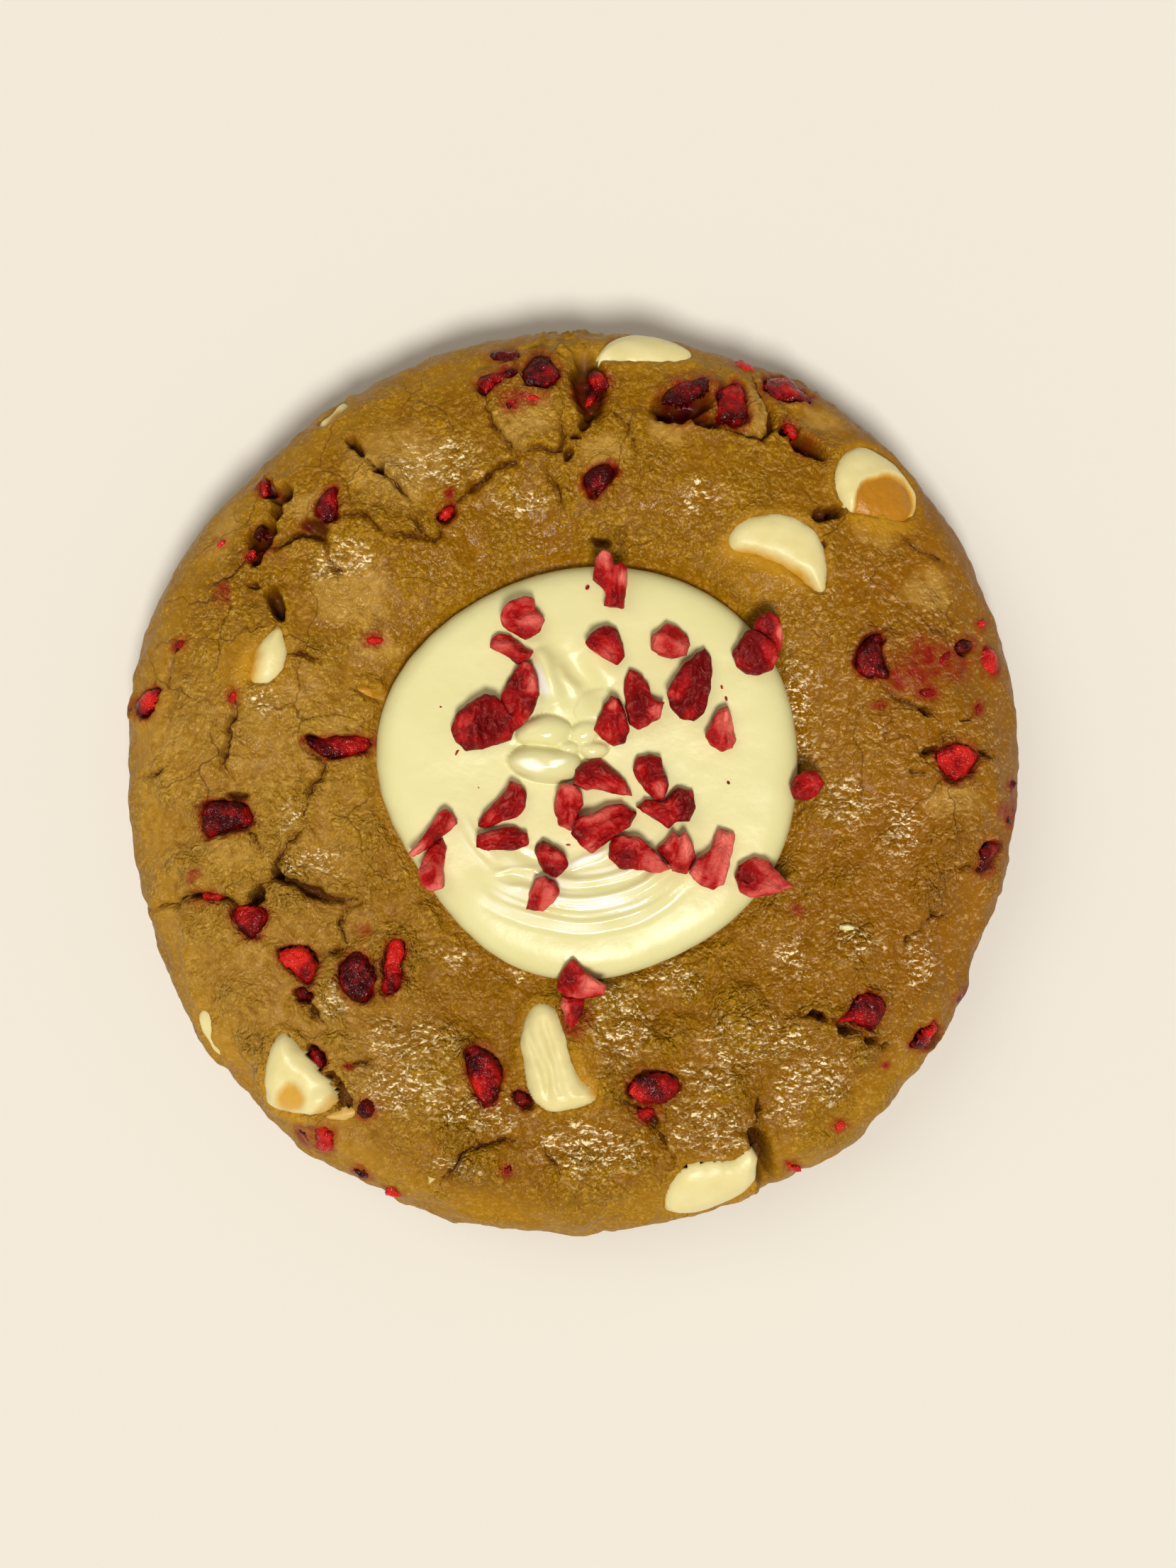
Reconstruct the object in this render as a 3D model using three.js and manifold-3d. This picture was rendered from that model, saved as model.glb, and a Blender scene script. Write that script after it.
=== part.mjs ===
// A white chocolate raspberry cookie: a thick round of baked dough, cracked on top, with a
// poured disc of white chocolate in its middle, freeze-dried raspberry pieces scattered on
// the disc, and white chocolate chips and raspberry pieces baked into the dough.
//
// Millimetres, +Z up. The origin is the middle of the flat underside, and the cookie lies as
// it does on a table, seen from above with +Y away from the viewer.

import * as THREE from 'three';
import { mergeVertices } from 'three/addons/utils/BufferGeometryUtils.js';
import Module from 'manifold-3d';

const wasm = await Module();
wasm.setup();

// ---- driving dimensions -------------------------------------------------------------

const GAP = 0.3; // clearance between two pieces that touch in the real cookie

const DOUGH_RADIUS = 49.2; // mean radius of the outline
const DOUGH_HEIGHT = 18.8; // crest of the top, between the rim and the filling
const BELLY_HEIGHT = 6.5; // height at which the side is widest
const FOOT_INSET = 3; // the flat underside ends this far inside the side
const SHOULDER_POWER = 9; // how late the top turns down into the rim
const SHOULDER_ROUND = 2.2; // how full that turn is
const WELL_DEPTH = 1.2; // the top sinks this far towards the filling
const WELL_START = 34; // radius at which it starts to sink
const WELL_END = 21; // radius at which it is level again
const LUMP_HEIGHT = 0.35; // swell of the top's slow lumps
const ROUND_SIDES = 66; // facets round the dough

const FILLING_CENTRE = [1.9, 1.4];
const FILLING_RADIUS = 22.1; // mean radius of the poured disc
const FILLING_FLOOR = 14.6; // underside of the disc
const FILLING_EDGE = 17.7; // height at which the rounded edge starts
const FILLING_HEIGHT = 19.7; // top of the disc, inside its rounded edge
const FILLING_EDGE_WIDTH = 3.2; // the rounded edge, from the outline inwards
const FILLING_CROWN = 0.5; // further rise of the middle
const DISC_SIDES = 44; // facets round the disc

// Each outline is a circle with a few slow waves: [waves round, swell, angle of a crest].
const DOUGH_WAVES = [[2, 0.45, 62], [3, 0.27, 44], [4, 0.25, 49], [5, 0.28, 20], [7, 0.27, 4]];
const FILLING_WAVES = [[2, 0.2, 3], [3, 0.5, 38], [4, 0.34, -19], [5, 0.23, 34]];

// Cracks and fissures in the top: width, depth, and the points they run through.
const CRACKS = [
  { width: 0.9, depth: 2.4, path: [[-36.2, 9.3], [-36.5, 6.3], [-37.5, 2.9], [-36.1, 0.8], [-36.2, -2.4]] },
  { width: 0.7, depth: 1.8, path: [[-34.6, -5], [-33.4, -7.5]] },
  { width: 1, depth: 2.6, path: [[-44.6, -14], [-41, -12.1], [-36.1, -12.6], [-33.9, -12.1],
    [-31.2, -10], [-28.5, -11.2], [-23.3, -12.9]] },
  { width: 1, depth: 2.4, path: [[-28.4, -22.2], [-27.7, -23.8], [-26, -26.6], [-24.7, -32]] },
  { width: 1.3, depth: 2.8, path: [[-42.2, 21.2], [-37.4, 21.9], [-34, 24.6], [-33.3, 26.8],
    [-31.5, 29], [-32.6, 32]] },
  { width: 0.8, depth: 1.6, path: [[-32.6, 25.3], [-28.7, 26.9], [-26.6, 26.2], [-25, 21.9]] },
  { width: 0.8, depth: 1.8, path: [[-24.8, 28.6], [-21.7, 28.3], [-19, 26.4], [-14.5, 25.8],
    [-11.3, 30.3], [-9, 33.3], [-5.6, 34.8]] },
  { width: 1, depth: 1.9, path: [[-24.2, 38], [-22.1, 34.7], [-17.2, 30.3]] },
  { width: 0.8, depth: 1.7, path: [[-9.7, 39.4], [-5.6, 35], [-0.9, 35.7], [1, 37.4]] },
  { width: 0.8, depth: 1.6, path: [[-28.1, 4], [-26.4, 1.6], [-28.4, -2], [-30.8, -6.5]] },
  { width: 0.9, depth: 2, path: [[3.8, -33.9], [6.6, -34.9], [8.6, -37], [10.6, -40.6]] },
  { width: 1, depth: 2.4, path: [[23.1, -24.8], [26.4, -24.8], [31.8, -27.8], [35, -29.2]] },
];

// Hollows torn open beside the raspberry pieces: centre, heading, half length, half width, depth.
const HOLLOWS = [
  { at: [12.5, 41.3], heading: 15, half: [3.7, 1.8], depth: 2.6 },
  { at: [-36.9, -3.8], heading: 0, half: [3.7, 2.5], depth: 2 },
  { at: [-24.1, 3.7], heading: 12, half: [4.4, 1.8], depth: 1.8 },
  { at: [-33.5, 24.9], heading: 70, half: [2.3, 1.2], depth: 2.6 },
  { at: [-31.5, 18.9], heading: 80, half: [1.7, 0.9], depth: 2.6 },
  { at: [27.3, 28.8], heading: 20, half: [1.6, 1.1], depth: 2.2 },
  { at: [1.9, 43], heading: 115, half: [3.6, 1.4], depth: 2.4 },
  { at: [26.7, -25.4], heading: -5, half: [2.3, 0.9], depth: 2.2 },
  { at: [20.4, -39.2], heading: 100, half: [4.2, 1.1], depth: 2.6 },
];

// ---- the pieces, each a drawn-out drop or two joined drops ---------------------------
// x, y: the middle. heading: the way from the tail to the head, in degrees from +X.
// tail, head: how the girth grows from each end, 0.5 round, 1 a cone, 0.25 blunt.

const TOPPING_PIECES = [
  [[3, 22, 98, 4.6, 2.7, 0.5, 0.4], [4.2, 19.3, 110, 3.8, 2.4, 0.3, 0.5]],
  [[-5.3, 17.3, 20, 4.9, 4.6, 0.5, 0.5]],
  [[-6.4, 14.2, 160, 5, 2.2, 0.3, 0.35]],
  [[-5.4, 9.9, 65, 6.6, 3.2, 0.4, 0.5], [-9.5, 5.9, 33, 6.4, 4.8, 0.5, 0.45]],
  [[3.5, 14.3, 140, 5.2, 3.5, 0.6, 0.45]],
  [[10.2, 14.8, -85, 4, 4.3, 0.75, 0.4]],
  [[19.1, 13.3, 70, 4.8, 4.9, 0.5, 0.5], [20.5, 15.6, 60, 4.4, 3, 0.5, 0.5]],
  [[12.2, 10.2, 252, 7.8, 4.7, 0.75, 0.45]],
  [[7.2, 8.8, -68, 6.6, 3.9, 0.8, 0.35]],
  [[4.2, 6.3, 264, 5.4, 3.8, 0.8, 0.4]],
  [[15.5, 5.6, 258, 4.8, 3.3, 0.9, 0.45]],
  [[3.1, 0.4, 156, 6.6, 3.7, 0.8, 0.45]],
  [[8.1, 0.8, 108, 5, 3.2, 0.4, 0.35]],
  [[-0.6, -2.7, 99, 4.7, 2.9, 0.5, 0.4]],
  [[3.1, -4.9, 207, 7, 3.8, 0.9, 0.4]],
  [[8.9, -3, 15, 4.5, 2.7, 0.8, 0.3], [11.6, -2.3, 105, 3.9, 2.5, 0.4, 0.5]],
  [[6.6, -7.7, 163, 6.2, 3.6, 1, 0.45]],
  [[10.4, -7.2, -55, 4.2, 2.5, 0.8, 0.4], [11.7, -7, -88, 4.3, 2.4, 0.8, 0.4]],
  [[15.3, -6.9, 256, 5, 2.3, 0.25, 0.3], [14.6, -9.5, 215, 4.2, 3.3, 0.45, 0.4]],
  [[19.8, -10.2, 167, 5.9, 4.3, 0.9, 0.5]],
  [[24.7, -0.4, 30, 3.9, 3.5, 0.5, 0.5]],
  [[-7.3, -2.5, 42, 6.5, 3.1, 0.8, 0.45]],
  [[-7.5, -6, 4, 5.6, 2.7, 0.3, 0.4]],
  [[-2.2, -8.1, -58, 4.4, 3, 0.5, 0.5]],
  [[-3.1, -11.8, 60, 4, 3.1, 0.4, 0.5]],
  [[-14.6, -5.1, 49, 6.9, 2.3, 1, 0.4]],
  [[-14.6, -9, 262, 5.4, 2.9, 0.7, 0.45]],
  [[0.9, -20.9, 165, 5.3, 3.9, 0.75, 0.35], [-0.2, -23.6, 87, 4.6, 2.9, 0.8, 0.4]],
];

// The pieces in the dough also say how far they stand out of it.
const BAKED_PIECES = [
  { drop: [-26.2, 29.3, 280, 4.4, 2.8, 0.7, 0.4], proud: 0.9 },
  { drop: [-3.1, 43.9, -50, 4.3, 3.7, 0.5, 0.5], proud: 1 },
  { drop: [-8.2, 43.3, 20, 5, 2.2, 0.5, 0.4], proud: 0.8 },
  { drop: [2.8, 32, 60, 4, 3.2, 0.5, 0.45], proud: 1 },
  { drop: [-46.1, 8.5, 44, 3.9, 2.7, 0.5, 0.5], proud: 0.9 },
  { drop: [-24.7, 3.6, 12, 5.4, 2.4, 0.5, 0.5], proud: -0.1 },
  { drop: [-37.2, -3.8, 3, 5.9, 3.2, 0.4, 0.4], proud: -0.2 },
  { drop: [-34.4, -14.8, 170, 3.9, 3.3, 0.8, 0.4], proud: 1 },
  { drop: [-29, -19.2, 160, 4.9, 4, 0.7, 0.45], proud: 1.3 },
  { drop: [-22.6, -21, 110, 4.9, 4.2, 0.5, 0.5], proud: 1.2 },
  { drop: [-18.9, -19.2, 76, 6, 2.3, 0.4, 0.4], proud: 1 },
  { drop: [-9.7, -31, 113, 6.8, 4.3, 0.75, 0.5], proud: 1.3 },
  { drop: [8.6, -32.3, 0, 5.7, 3.6, 0.5, 0.5], proud: 1.3 },
  { drop: [30.9, -24, 12, 5.4, 3.8, 0.5, 0.5], proud: 1.1 },
  { drop: [38.3, -27.7, 47, 4.4, 2, 0.6, 0.8], proud: 0.8 },
  { drop: [44.7, -8, 62, 4.3, 2.3, 0.5, 0.5], proud: 0.7 },
  { drop: [16.9, 40.6, 94, 6, 3.1, 0.35, 0.4], proud: 0.9 },
  { drop: [22.4, 43.3, -16, 4.6, 3, 0.5, 0.5], proud: 0.9 },
  { drop: [31.3, 13.6, 75, 5.1, 3.3, 0.5, 0.45], proud: 1 },
  { drop: [40.7, 2.3, 190, 4.6, 3.6, 0.7, 0.5], proud: 1.1 },
];

// Chips: drops of white chocolate of the size a baker buys, some half under the dough.
const CHIPS = [
  { drops: [[7.7, 47, 172, 10.4, 6.4, 0.5, 0.5]], height: 4.2, proud: 1.9 },
  { drops: [[32.8, 32.4, -45, 9, 8.6, 0.5, 0.5]], height: 4.6, proud: 1.7 },
  { drops: [[21.4, 24.1, -38, 10.6, 8.2, 0.5, 0.5]], height: 4.2, proud: 1 },
  { drops: [[-26.3, 40.4, 38, 4, 2.8, 0.5, 0.5]], height: 2.6, proud: 1 },
  { drops: [[-32.1, 13.1, 78, 6.4, 3.8, 0.5, 0.5]], height: 3.4, proud: 0.8 },
  { drops: [[-39.6, -27.9, 119, 5.6, 3.6, 0.5, 0.5]], height: 3, proud: 0.9 },
  { drops: [[-29.8, -30.8, -74, 8.8, 7.8, 0.85, 0.25]], height: 6, proud: 2.2 },
  { drops: [[-2.9, -29.2, 102, 11, 5, 0.35, 0.35], [0.7, -34.2, 8, 6.4, 2.4, 0.4, 0.6]],
    height: 4, proud: 1 },
  { drops: [[15, -43.7, 26, 10.4, 6.8, 0.45, 0.4]], height: 5.2, proud: 2 },
];

// ---- shapes as functions --------------------------------------------------------------

const { degToRad, smoothstep } = THREE.MathUtils;

// The swell of an outline at an angle, from its list of waves.
function swell(waves, angle) {
  let sum = 0;
  for (const [count, size, crest] of waves) {
    sum += size * Math.cos(count * (angle - degToRad(crest)));
  }
  return sum;
}

const doughRadius = (angle) => DOUGH_RADIUS + swell(DOUGH_WAVES, angle);
const fillingRadius = (angle) => FILLING_RADIUS + swell(FILLING_WAVES, angle);

// Height of the dough's top. It falls steeply at the rim and is the belly's height there.
function doughTop(x, y) {
  const radius = Math.hypot(x, y);
  const share = Math.min(radius / doughRadius(Math.atan2(y, x)), 1);
  const shoulder = (1 - share ** SHOULDER_POWER) ** (1 / SHOULDER_ROUND);
  const well = WELL_DEPTH * (1 - smoothstep(radius, WELL_END, WELL_START));
  const lumps = LUMP_HEIGHT * (Math.sin(x / 3.3 + 0.6) * Math.cos(y / 4.1) + Math.sin((x + y) / 5.2));
  return BELLY_HEIGHT + (DOUGH_HEIGHT - BELLY_HEIGHT - well + lumps) * shoulder;
}

// Height of the filling's top, without its swirls, or -Infinity outside its outline.
function fillingTop(x, y) {
  const dx = x - FILLING_CENTRE[0];
  const dy = y - FILLING_CENTRE[1];
  const outline = fillingRadius(Math.atan2(dy, dx));
  const inside = outline - Math.hypot(dx, dy);
  if (inside < 0) return -Infinity;
  const turn = Math.min(inside / FILLING_EDGE_WIDTH, 1);
  const edge = (FILLING_HEIGHT - FILLING_EDGE) * Math.sqrt(1 - (1 - turn) ** 2);
  return FILLING_EDGE + edge + FILLING_CROWN * smoothstep(inside, 0, outline);
}

// ---- closed bodies ---------------------------------------------------------------------

// A closed geometry from its vertices and triangles, turned to face outwards.
function closedGeometry(vertices, triangles) {
  const geometry = new THREE.BufferGeometry();
  geometry.setAttribute('position', new THREE.Float32BufferAttribute(vertices.flat(), 3));
  const [a, b, c] = [new THREE.Vector3(), new THREE.Vector3(), new THREE.Vector3()];
  let volume = 0;
  for (const [i, j, k] of triangles) {
    a.fromArray(vertices[i]);
    b.fromArray(vertices[j]);
    c.fromArray(vertices[k]);
    volume += a.dot(b.cross(c));
  }
  const outward = volume > 0 ? triangles : triangles.map(([i, j, k]) => [i, k, j]);
  geometry.setIndex(outward.flat());
  return geometry;
}

// A body of rings of equal count, closed at both ends by a middle point.
function ringedGeometry(rings, start, end) {
  const count = rings[0].length;
  const vertices = [...rings.flat(), start, end];
  const first = rings.length * count;
  const last = first + 1;
  const top = (rings.length - 1) * count;
  const triangles = [];
  for (let k = 0; k < count; k++) {
    const next = (k + 1) % count;
    triangles.push([first, next, k]);
    triangles.push([last, top + k, top + next]);
    for (let row = 0; row + 1 < rings.length; row++) {
      const low = row * count;
      const high = low + count;
      triangles.push([low + k, low + next, high + next]);
      triangles.push([low + k, high + next, high + k]);
    }
  }
  return closedGeometry(vertices, triangles);
}

// A ring of points round an axis at x, y, from functions of the angle.
function ringAt(count, [x, y], radiusAt, heightAt) {
  const ring = [];
  for (let k = 0; k < count; k++) {
    const angle = (2 * Math.PI * k) / count;
    const radius = radiusAt(angle);
    const px = x + radius * Math.cos(angle);
    const py = y + radius * Math.sin(angle);
    ring.push([px, py, heightAt(px, py)]);
  }
  return ring;
}

// manifold-3d's solid of a geometry, and back.
function solidOf(geometry) {
  const bare = geometry.clone();
  bare.deleteAttribute('normal');
  bare.deleteAttribute('uv');
  const merged = mergeVertices(bare);
  const mesh = new wasm.Mesh({
    numProp: 3,
    vertProperties: new Float32Array(merged.attributes.position.array),
    triVerts: new Uint32Array(merged.index.array),
  });
  return new wasm.Manifold(mesh);
}

function geometryOf(solid) {
  const { vertProperties, triVerts, numProp } = solid.getMesh();
  const position = new Float32Array((vertProperties.length / numProp) * 3);
  for (let i = 0; i < position.length / 3; i++) {
    position.set(vertProperties.subarray(i * numProp, i * numProp + 3), i * 3);
  }
  const geometry = new THREE.BufferGeometry();
  geometry.setAttribute('position', new THREE.BufferAttribute(position, 3));
  geometry.setIndex(new THREE.BufferAttribute(new Uint32Array(triVerts), 1));
  geometry.computeVertexNormals();
  return geometry;
}

const joined = (solids) => solids.reduce((sum, solid) => sum.add(solid));

// The largest body of a solid: crumbs that the cuts set free are left out.
function largestBody(solid) {
  return solid.decompose().reduce((best, body) => (body.volume() > best.volume() ? body : best));
}

// ---- drops: drupelets and chips ---------------------------------------------------------

const DROP_SIDES = 6;
const DROP_RINGS = 4;
const DROP_FLATNESS = 0.8; // under 1, the back stays high towards both ends
const DROP_UNEVEN = 0.07; // share by which the girth varies round and along

// A drop along local X, from its tail to its head, its underside at z = 0, grown all round.
function dropGeometry([, , , length, width, tail, head], height, grow = 0) {
  const full = length + 2 * grow;
  const peak = tail / (tail + head);
  const most = peak ** tail * (1 - peak) ** head;
  const middle = height / 2;
  const rings = [];
  for (let row = 1; row <= DROP_RINGS; row++) {
    const along = (1 - Math.cos((Math.PI * row) / (DROP_RINGS + 1))) / 2;
    const girth = (along ** tail * (1 - along) ** head) / most;
    const ring = [];
    for (let side = 0; side < DROP_SIDES; side++) {
      const angle = (2 * Math.PI * side) / DROP_SIDES;
      const uneven = 1 + DROP_UNEVEN * Math.sin(3 * angle + 2 * row);
      ring.push([
        (along - 0.5) * full,
        (width / 2 + grow) * girth * uneven * Math.cos(angle),
        middle + (middle + grow) * girth ** DROP_FLATNESS * Math.sin(angle),
      ]);
    }
    rings.push(ring);
  }
  return ringedGeometry(rings, [-full / 2, 0, middle], [full / 2, 0, middle]);
}

// Stands a drop at its place, its up axis along a normal, its underside at a height.
function stand(geometry, [x, y, heading], z, normal) {
  const ahead = new THREE.Vector3(Math.cos(degToRad(heading)), Math.sin(degToRad(heading)), 0);
  const along = ahead.addScaledVector(normal, -ahead.dot(normal)).normalize();
  const across = new THREE.Vector3().crossVectors(normal, along);
  const place = new THREE.Matrix4().makeBasis(along, across, normal).setPosition(x, y, z);
  return geometry.applyMatrix4(place);
}

// The upward normal of the dough's top, from its slope over a short step.
function doughNormal(x, y) {
  const step = 0.4;
  const slopeX = (doughTop(x + step, y) - doughTop(x - step, y)) / (2 * step);
  const slopeY = (doughTop(x, y + step) - doughTop(x, y - step)) / (2 * step);
  return new THREE.Vector3(-slopeX, -slopeY, 1).normalize();
}

// A solid sunk in the dough so that it stands proud of it by a given height.
function sunkSolid(drops, height, proud, grow = 0) {
  const bodies = drops.map((drop) => {
    const [x, y] = drop;
    const normal = doughNormal(x, y);
    const seat = new THREE.Vector3(x, y, doughTop(x, y)).addScaledVector(normal, proud - height);
    return solidOf(stand(dropGeometry(drop, height, grow), [seat.x, seat.y, drop[2]], seat.z, normal));
  });
  return joined(bodies);
}

// A topping piece, lying on whatever is highest under it.
function restingSolid(drops) {
  const up = new THREE.Vector3(0, 0, 1);
  const bodies = drops.map((drop) => {
    const geometry = stand(dropGeometry(drop, berryHeight(drop)), drop, 0, up);
    const position = geometry.attributes.position;
    let rise = 0;
    for (let i = 0; i < position.count; i++) {
      const [x, y] = [position.getX(i), position.getY(i)];
      const support = Math.max(doughTop(x, y), reliefTop(x, y));
      rise = Math.max(rise, support + GAP - position.getZ(i));
    }
    return solidOf(geometry.translate(0, 0, rise));
  });
  return joined(bodies);
}

// Raspberry pieces are a little flatter than they are wide, the large ones most.
const THINNEST = 0.9;
const BERRY_FLATNESS = 0.5;
const berryHeight = ([, , , , width]) => THINNEST + BERRY_FLATNESS * width;

// ---- the filling -------------------------------------------------------------------------

// Reliefs of the spoon on the soft chocolate: the dollop it dropped last, lumps beside it, the
// fold it pulled up, and the arcs it left as it turned. Height is over the disc's top.
const DOLLOPS = [
  { at: [-3.6, 1.9], heading: -8, half: [3.4, 2], height: 1.1 },
  { at: [0.9, 4.5], heading: 60, half: [2.2, 1.5], height: 0.7 },
  { at: [-2.2, 10.9], heading: 100, half: [4.6, 1.6], height: 0.7 },
];
const SWIRL_CENTRE = [0.5, 1.8];
const SWIRLS = [
  { radius: 12.6, width: 0.9, height: 0.35, from: 262, to: 306 },
  { radius: 14.3, width: 1, height: 0.4, from: 240, to: 312 },
  { radius: 16.4, width: 1.7, height: 0.5, from: 232, to: 310 },
];

// A low oval mound, half of it under the surface.
function dollopSolid({ at: [x, y], heading, half: [length, width], height }) {
  const [sides, rows] = [9, 5];
  const mound = new THREE.SphereGeometry(1, sides, rows);
  mound.scale(length, width, height);
  mound.rotateZ(degToRad(heading));
  mound.translate(x, y, fillingTop(x, y));
  return solidOf(mound);
}

// A long thin ridge along an arc, tapering to both ends.
function swirlSolid({ radius, width, height, from, to }) {
  const steps = 6;
  const rings = [];
  for (let step = 1; step < steps; step++) {
    const share = step / steps;
    const angle = degToRad(from + (to - from) * share);
    const girth = Math.sqrt(Math.sin(Math.PI * share));
    const ring = [];
    for (const [out, up] of [[-1, 0], [0, -1], [1, 0], [0, 1]]) {
      const reach = radius + (out * width * girth) / 2;
      const x = SWIRL_CENTRE[0] + reach * Math.cos(angle);
      const y = SWIRL_CENTRE[1] + reach * Math.sin(angle);
      ring.push([x, y, fillingTop(x, y) + up * height * girth]);
    }
    rings.push(ring);
  }
  const tip = (angle) => {
    const x = SWIRL_CENTRE[0] + radius * Math.cos(degToRad(angle));
    const y = SWIRL_CENTRE[1] + radius * Math.sin(degToRad(angle));
    return [x, y, fillingTop(x, y)];
  };
  return solidOf(ringedGeometry(rings, tip(from), tip(to)));
}

// Highest point of the filling at x, y, with the room that its reliefs take.
function reliefTop(x, y) {
  let relief = 0;
  for (const { at, half, height } of DOLLOPS) {
    if (Math.hypot(x - at[0], y - at[1]) < half[0]) relief = Math.max(relief, height);
  }
  for (const { radius, width, height } of SWIRLS) {
    const off = Math.hypot(x - SWIRL_CENTRE[0], y - SWIRL_CENTRE[1]) - radius;
    if (Math.abs(off) < width && y < SWIRL_CENTRE[1]) relief = Math.max(relief, height);
  }
  return fillingTop(x, y) + relief;
}

// The poured disc: an upright wall, a rounded edge and a slightly crowned top.
function discGeometry() {
  const rings = [ringAt(DISC_SIDES, FILLING_CENTRE, fillingRadius, () => FILLING_FLOOR)];
  for (const inward of [0, 0.12, 0.45, 1]) {
    const radiusAt = (angle) => fillingRadius(angle) - inward * FILLING_EDGE_WIDTH;
    const turn = Math.sqrt(1 - (1 - inward) ** 2);
    const height = FILLING_EDGE + (FILLING_HEIGHT - FILLING_EDGE) * turn;
    rings.push(ringAt(DISC_SIDES, FILLING_CENTRE, radiusAt, () => height));
  }
  const halfway = (angle) => fillingRadius(angle) / 2;
  rings.push(ringAt(DISC_SIDES, FILLING_CENTRE, halfway, fillingTop));
  const [x, y] = FILLING_CENTRE;
  return ringedGeometry(rings, [x, y, FILLING_FLOOR], [x, y, fillingTop(x, y)]);
}

// The room that the disc takes out of the dough, open to above.
function discPocket() {
  const [floor, lid] = [FILLING_FLOOR - GAP, FILLING_HEIGHT + DOUGH_HEIGHT / 4];
  const radiusAt = (angle) => fillingRadius(angle) + GAP;
  const rings = [floor, lid].map((height) => ringAt(DISC_SIDES, FILLING_CENTRE, radiusAt, () => height));
  const [x, y] = FILLING_CENTRE;
  return solidOf(ringedGeometry(rings, [x, y, floor], [x, y, lid]));
}

function fillingSolid() {
  return joined([solidOf(discGeometry()), ...DOLLOPS.map(dollopSolid), ...SWIRLS.map(swirlSolid)]);
}

// ---- the dough ----------------------------------------------------------------------------

// The uncut round: a flat underside, a rounded foot up to the belly, and the top from the
// belly to its middle. Turn goes from 0 at the foot to 1 at the belly, share is of the radius.
function roundGeometry() {
  const middle = [0, 0];
  const rings = [];
  for (const turn of [0, 0.55, 1]) {
    const inset = FOOT_INSET * (1 - Math.sin((Math.PI / 2) * turn));
    const height = BELLY_HEIGHT * (1 - Math.cos((Math.PI / 2) * turn));
    rings.push(ringAt(ROUND_SIDES, middle, (angle) => doughRadius(angle) - inset, () => height));
  }
  for (const share of [0.985, 0.95, 0.89, 0.8, 0.7, 0.61, 0.53]) {
    rings.push(ringAt(ROUND_SIDES, middle, (angle) => share * doughRadius(angle), doughTop));
  }
  return ringedGeometry(rings, [0, 0, 0], [0, 0, doughTop(0, 0)]);
}

// The room of a crack: a wedge along its path, tapering to both ends, and open to above.
const CRACK_HEADROOM = 1.5; // the wedge goes on this far over the surface
const CRACK_END = 0.4; // share of its size left at either end

function crackSolid({ width, depth, path }) {
  const rings = path.map(([x, y], i) => {
    const [ax, ay] = path[Math.max(i - 1, 0)];
    const [bx, by] = path[Math.min(i + 1, path.length - 1)];
    const run = Math.hypot(bx - ax, by - ay);
    const atEnd = i === 0 || i === path.length - 1;
    const size = atEnd ? CRACK_END : 1;
    const reach = ((size * width) / 2) * (1 + CRACK_HEADROOM / depth);
    const [sideX, sideY] = [(-(by - ay) / run) * reach, ((bx - ax) / run) * reach];
    const top = doughTop(x, y);
    return [
      [x - sideX, y - sideY, top + CRACK_HEADROOM],
      [x + sideX, y + sideY, top + CRACK_HEADROOM],
      [x, y, top - size * depth],
    ];
  });
  const middleOf = (ring) => [0, 1, 2].map((axis) => (ring[0][axis] + ring[1][axis] + ring[2][axis]) / 3);
  return solidOf(ringedGeometry(rings, middleOf(rings[0]), middleOf(rings[rings.length - 1])));
}

// The room of a hollow: an oval bowl square to the surface.
function hollowSolid({ at: [x, y], heading, half: [length, width], depth }) {
  const bowl = new THREE.OctahedronGeometry(1, 1).scale(length, width, depth);
  return solidOf(stand(bowl, [x, y, heading], doughTop(x, y), doughNormal(x, y)));
}

function doughSolid() {
  const rooms = [discPocket(), ...CRACKS.map(crackSolid), ...HOLLOWS.map(hollowSolid)];
  for (const { drop, proud } of BAKED_PIECES) {
    rooms.push(sunkSolid([drop], berryHeight(drop), proud, GAP));
  }
  for (const { drops, height, proud } of CHIPS) {
    rooms.push(sunkSolid(drops, height, proud, GAP));
  }
  return largestBody(rooms.reduce((dough, room) => dough.subtract(room), solidOf(roundGeometry())));
}

// ---- materials and the group ----------------------------------------------------------------

const bakedDough = () => new THREE.MeshStandardMaterial({ color: 0xa8732a, roughness: 0.62 });
const whiteChocolate = () => new THREE.MeshStandardMaterial({ color: 0xf0e5a8, roughness: 0.3 });
const chipChocolate = () => new THREE.MeshStandardMaterial({ color: 0xf3ecb8, roughness: 0.4 });
const driedRaspberry = () => new THREE.MeshStandardMaterial({ color: 0xc22c3d, roughness: 0.75 });
const bakedRaspberry = () => new THREE.MeshStandardMaterial({ color: 0x8e1420, roughness: 0.35 });

const group = new THREE.Group();

function addNode(name, solid, material) {
  const mesh = new THREE.Mesh(geometryOf(solid), material);
  mesh.name = name;
  group.add(mesh);
}

const numbered = (name, index) => `${name}_${String(index + 1).padStart(2, '0')}`;

addNode('cookie_dough', doughSolid(), bakedDough());
addNode('white_chocolate_filling', fillingSolid(), whiteChocolate());
CHIPS.forEach(({ drops, height, proud }, index) => {
  addNode(numbered('white_chocolate_chip', index), sunkSolid(drops, height, proud), chipChocolate());
});
TOPPING_PIECES.forEach((drops, index) => {
  addNode(numbered('raspberry_topping', index), restingSolid(drops), driedRaspberry());
});
BAKED_PIECES.forEach(({ drop, proud }, index) => {
  const solid = sunkSolid([drop], berryHeight(drop), proud);
  addNode(numbered('raspberry_baked_in', index), solid, bakedRaspberry());
});

export default group;
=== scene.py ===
import math

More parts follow.
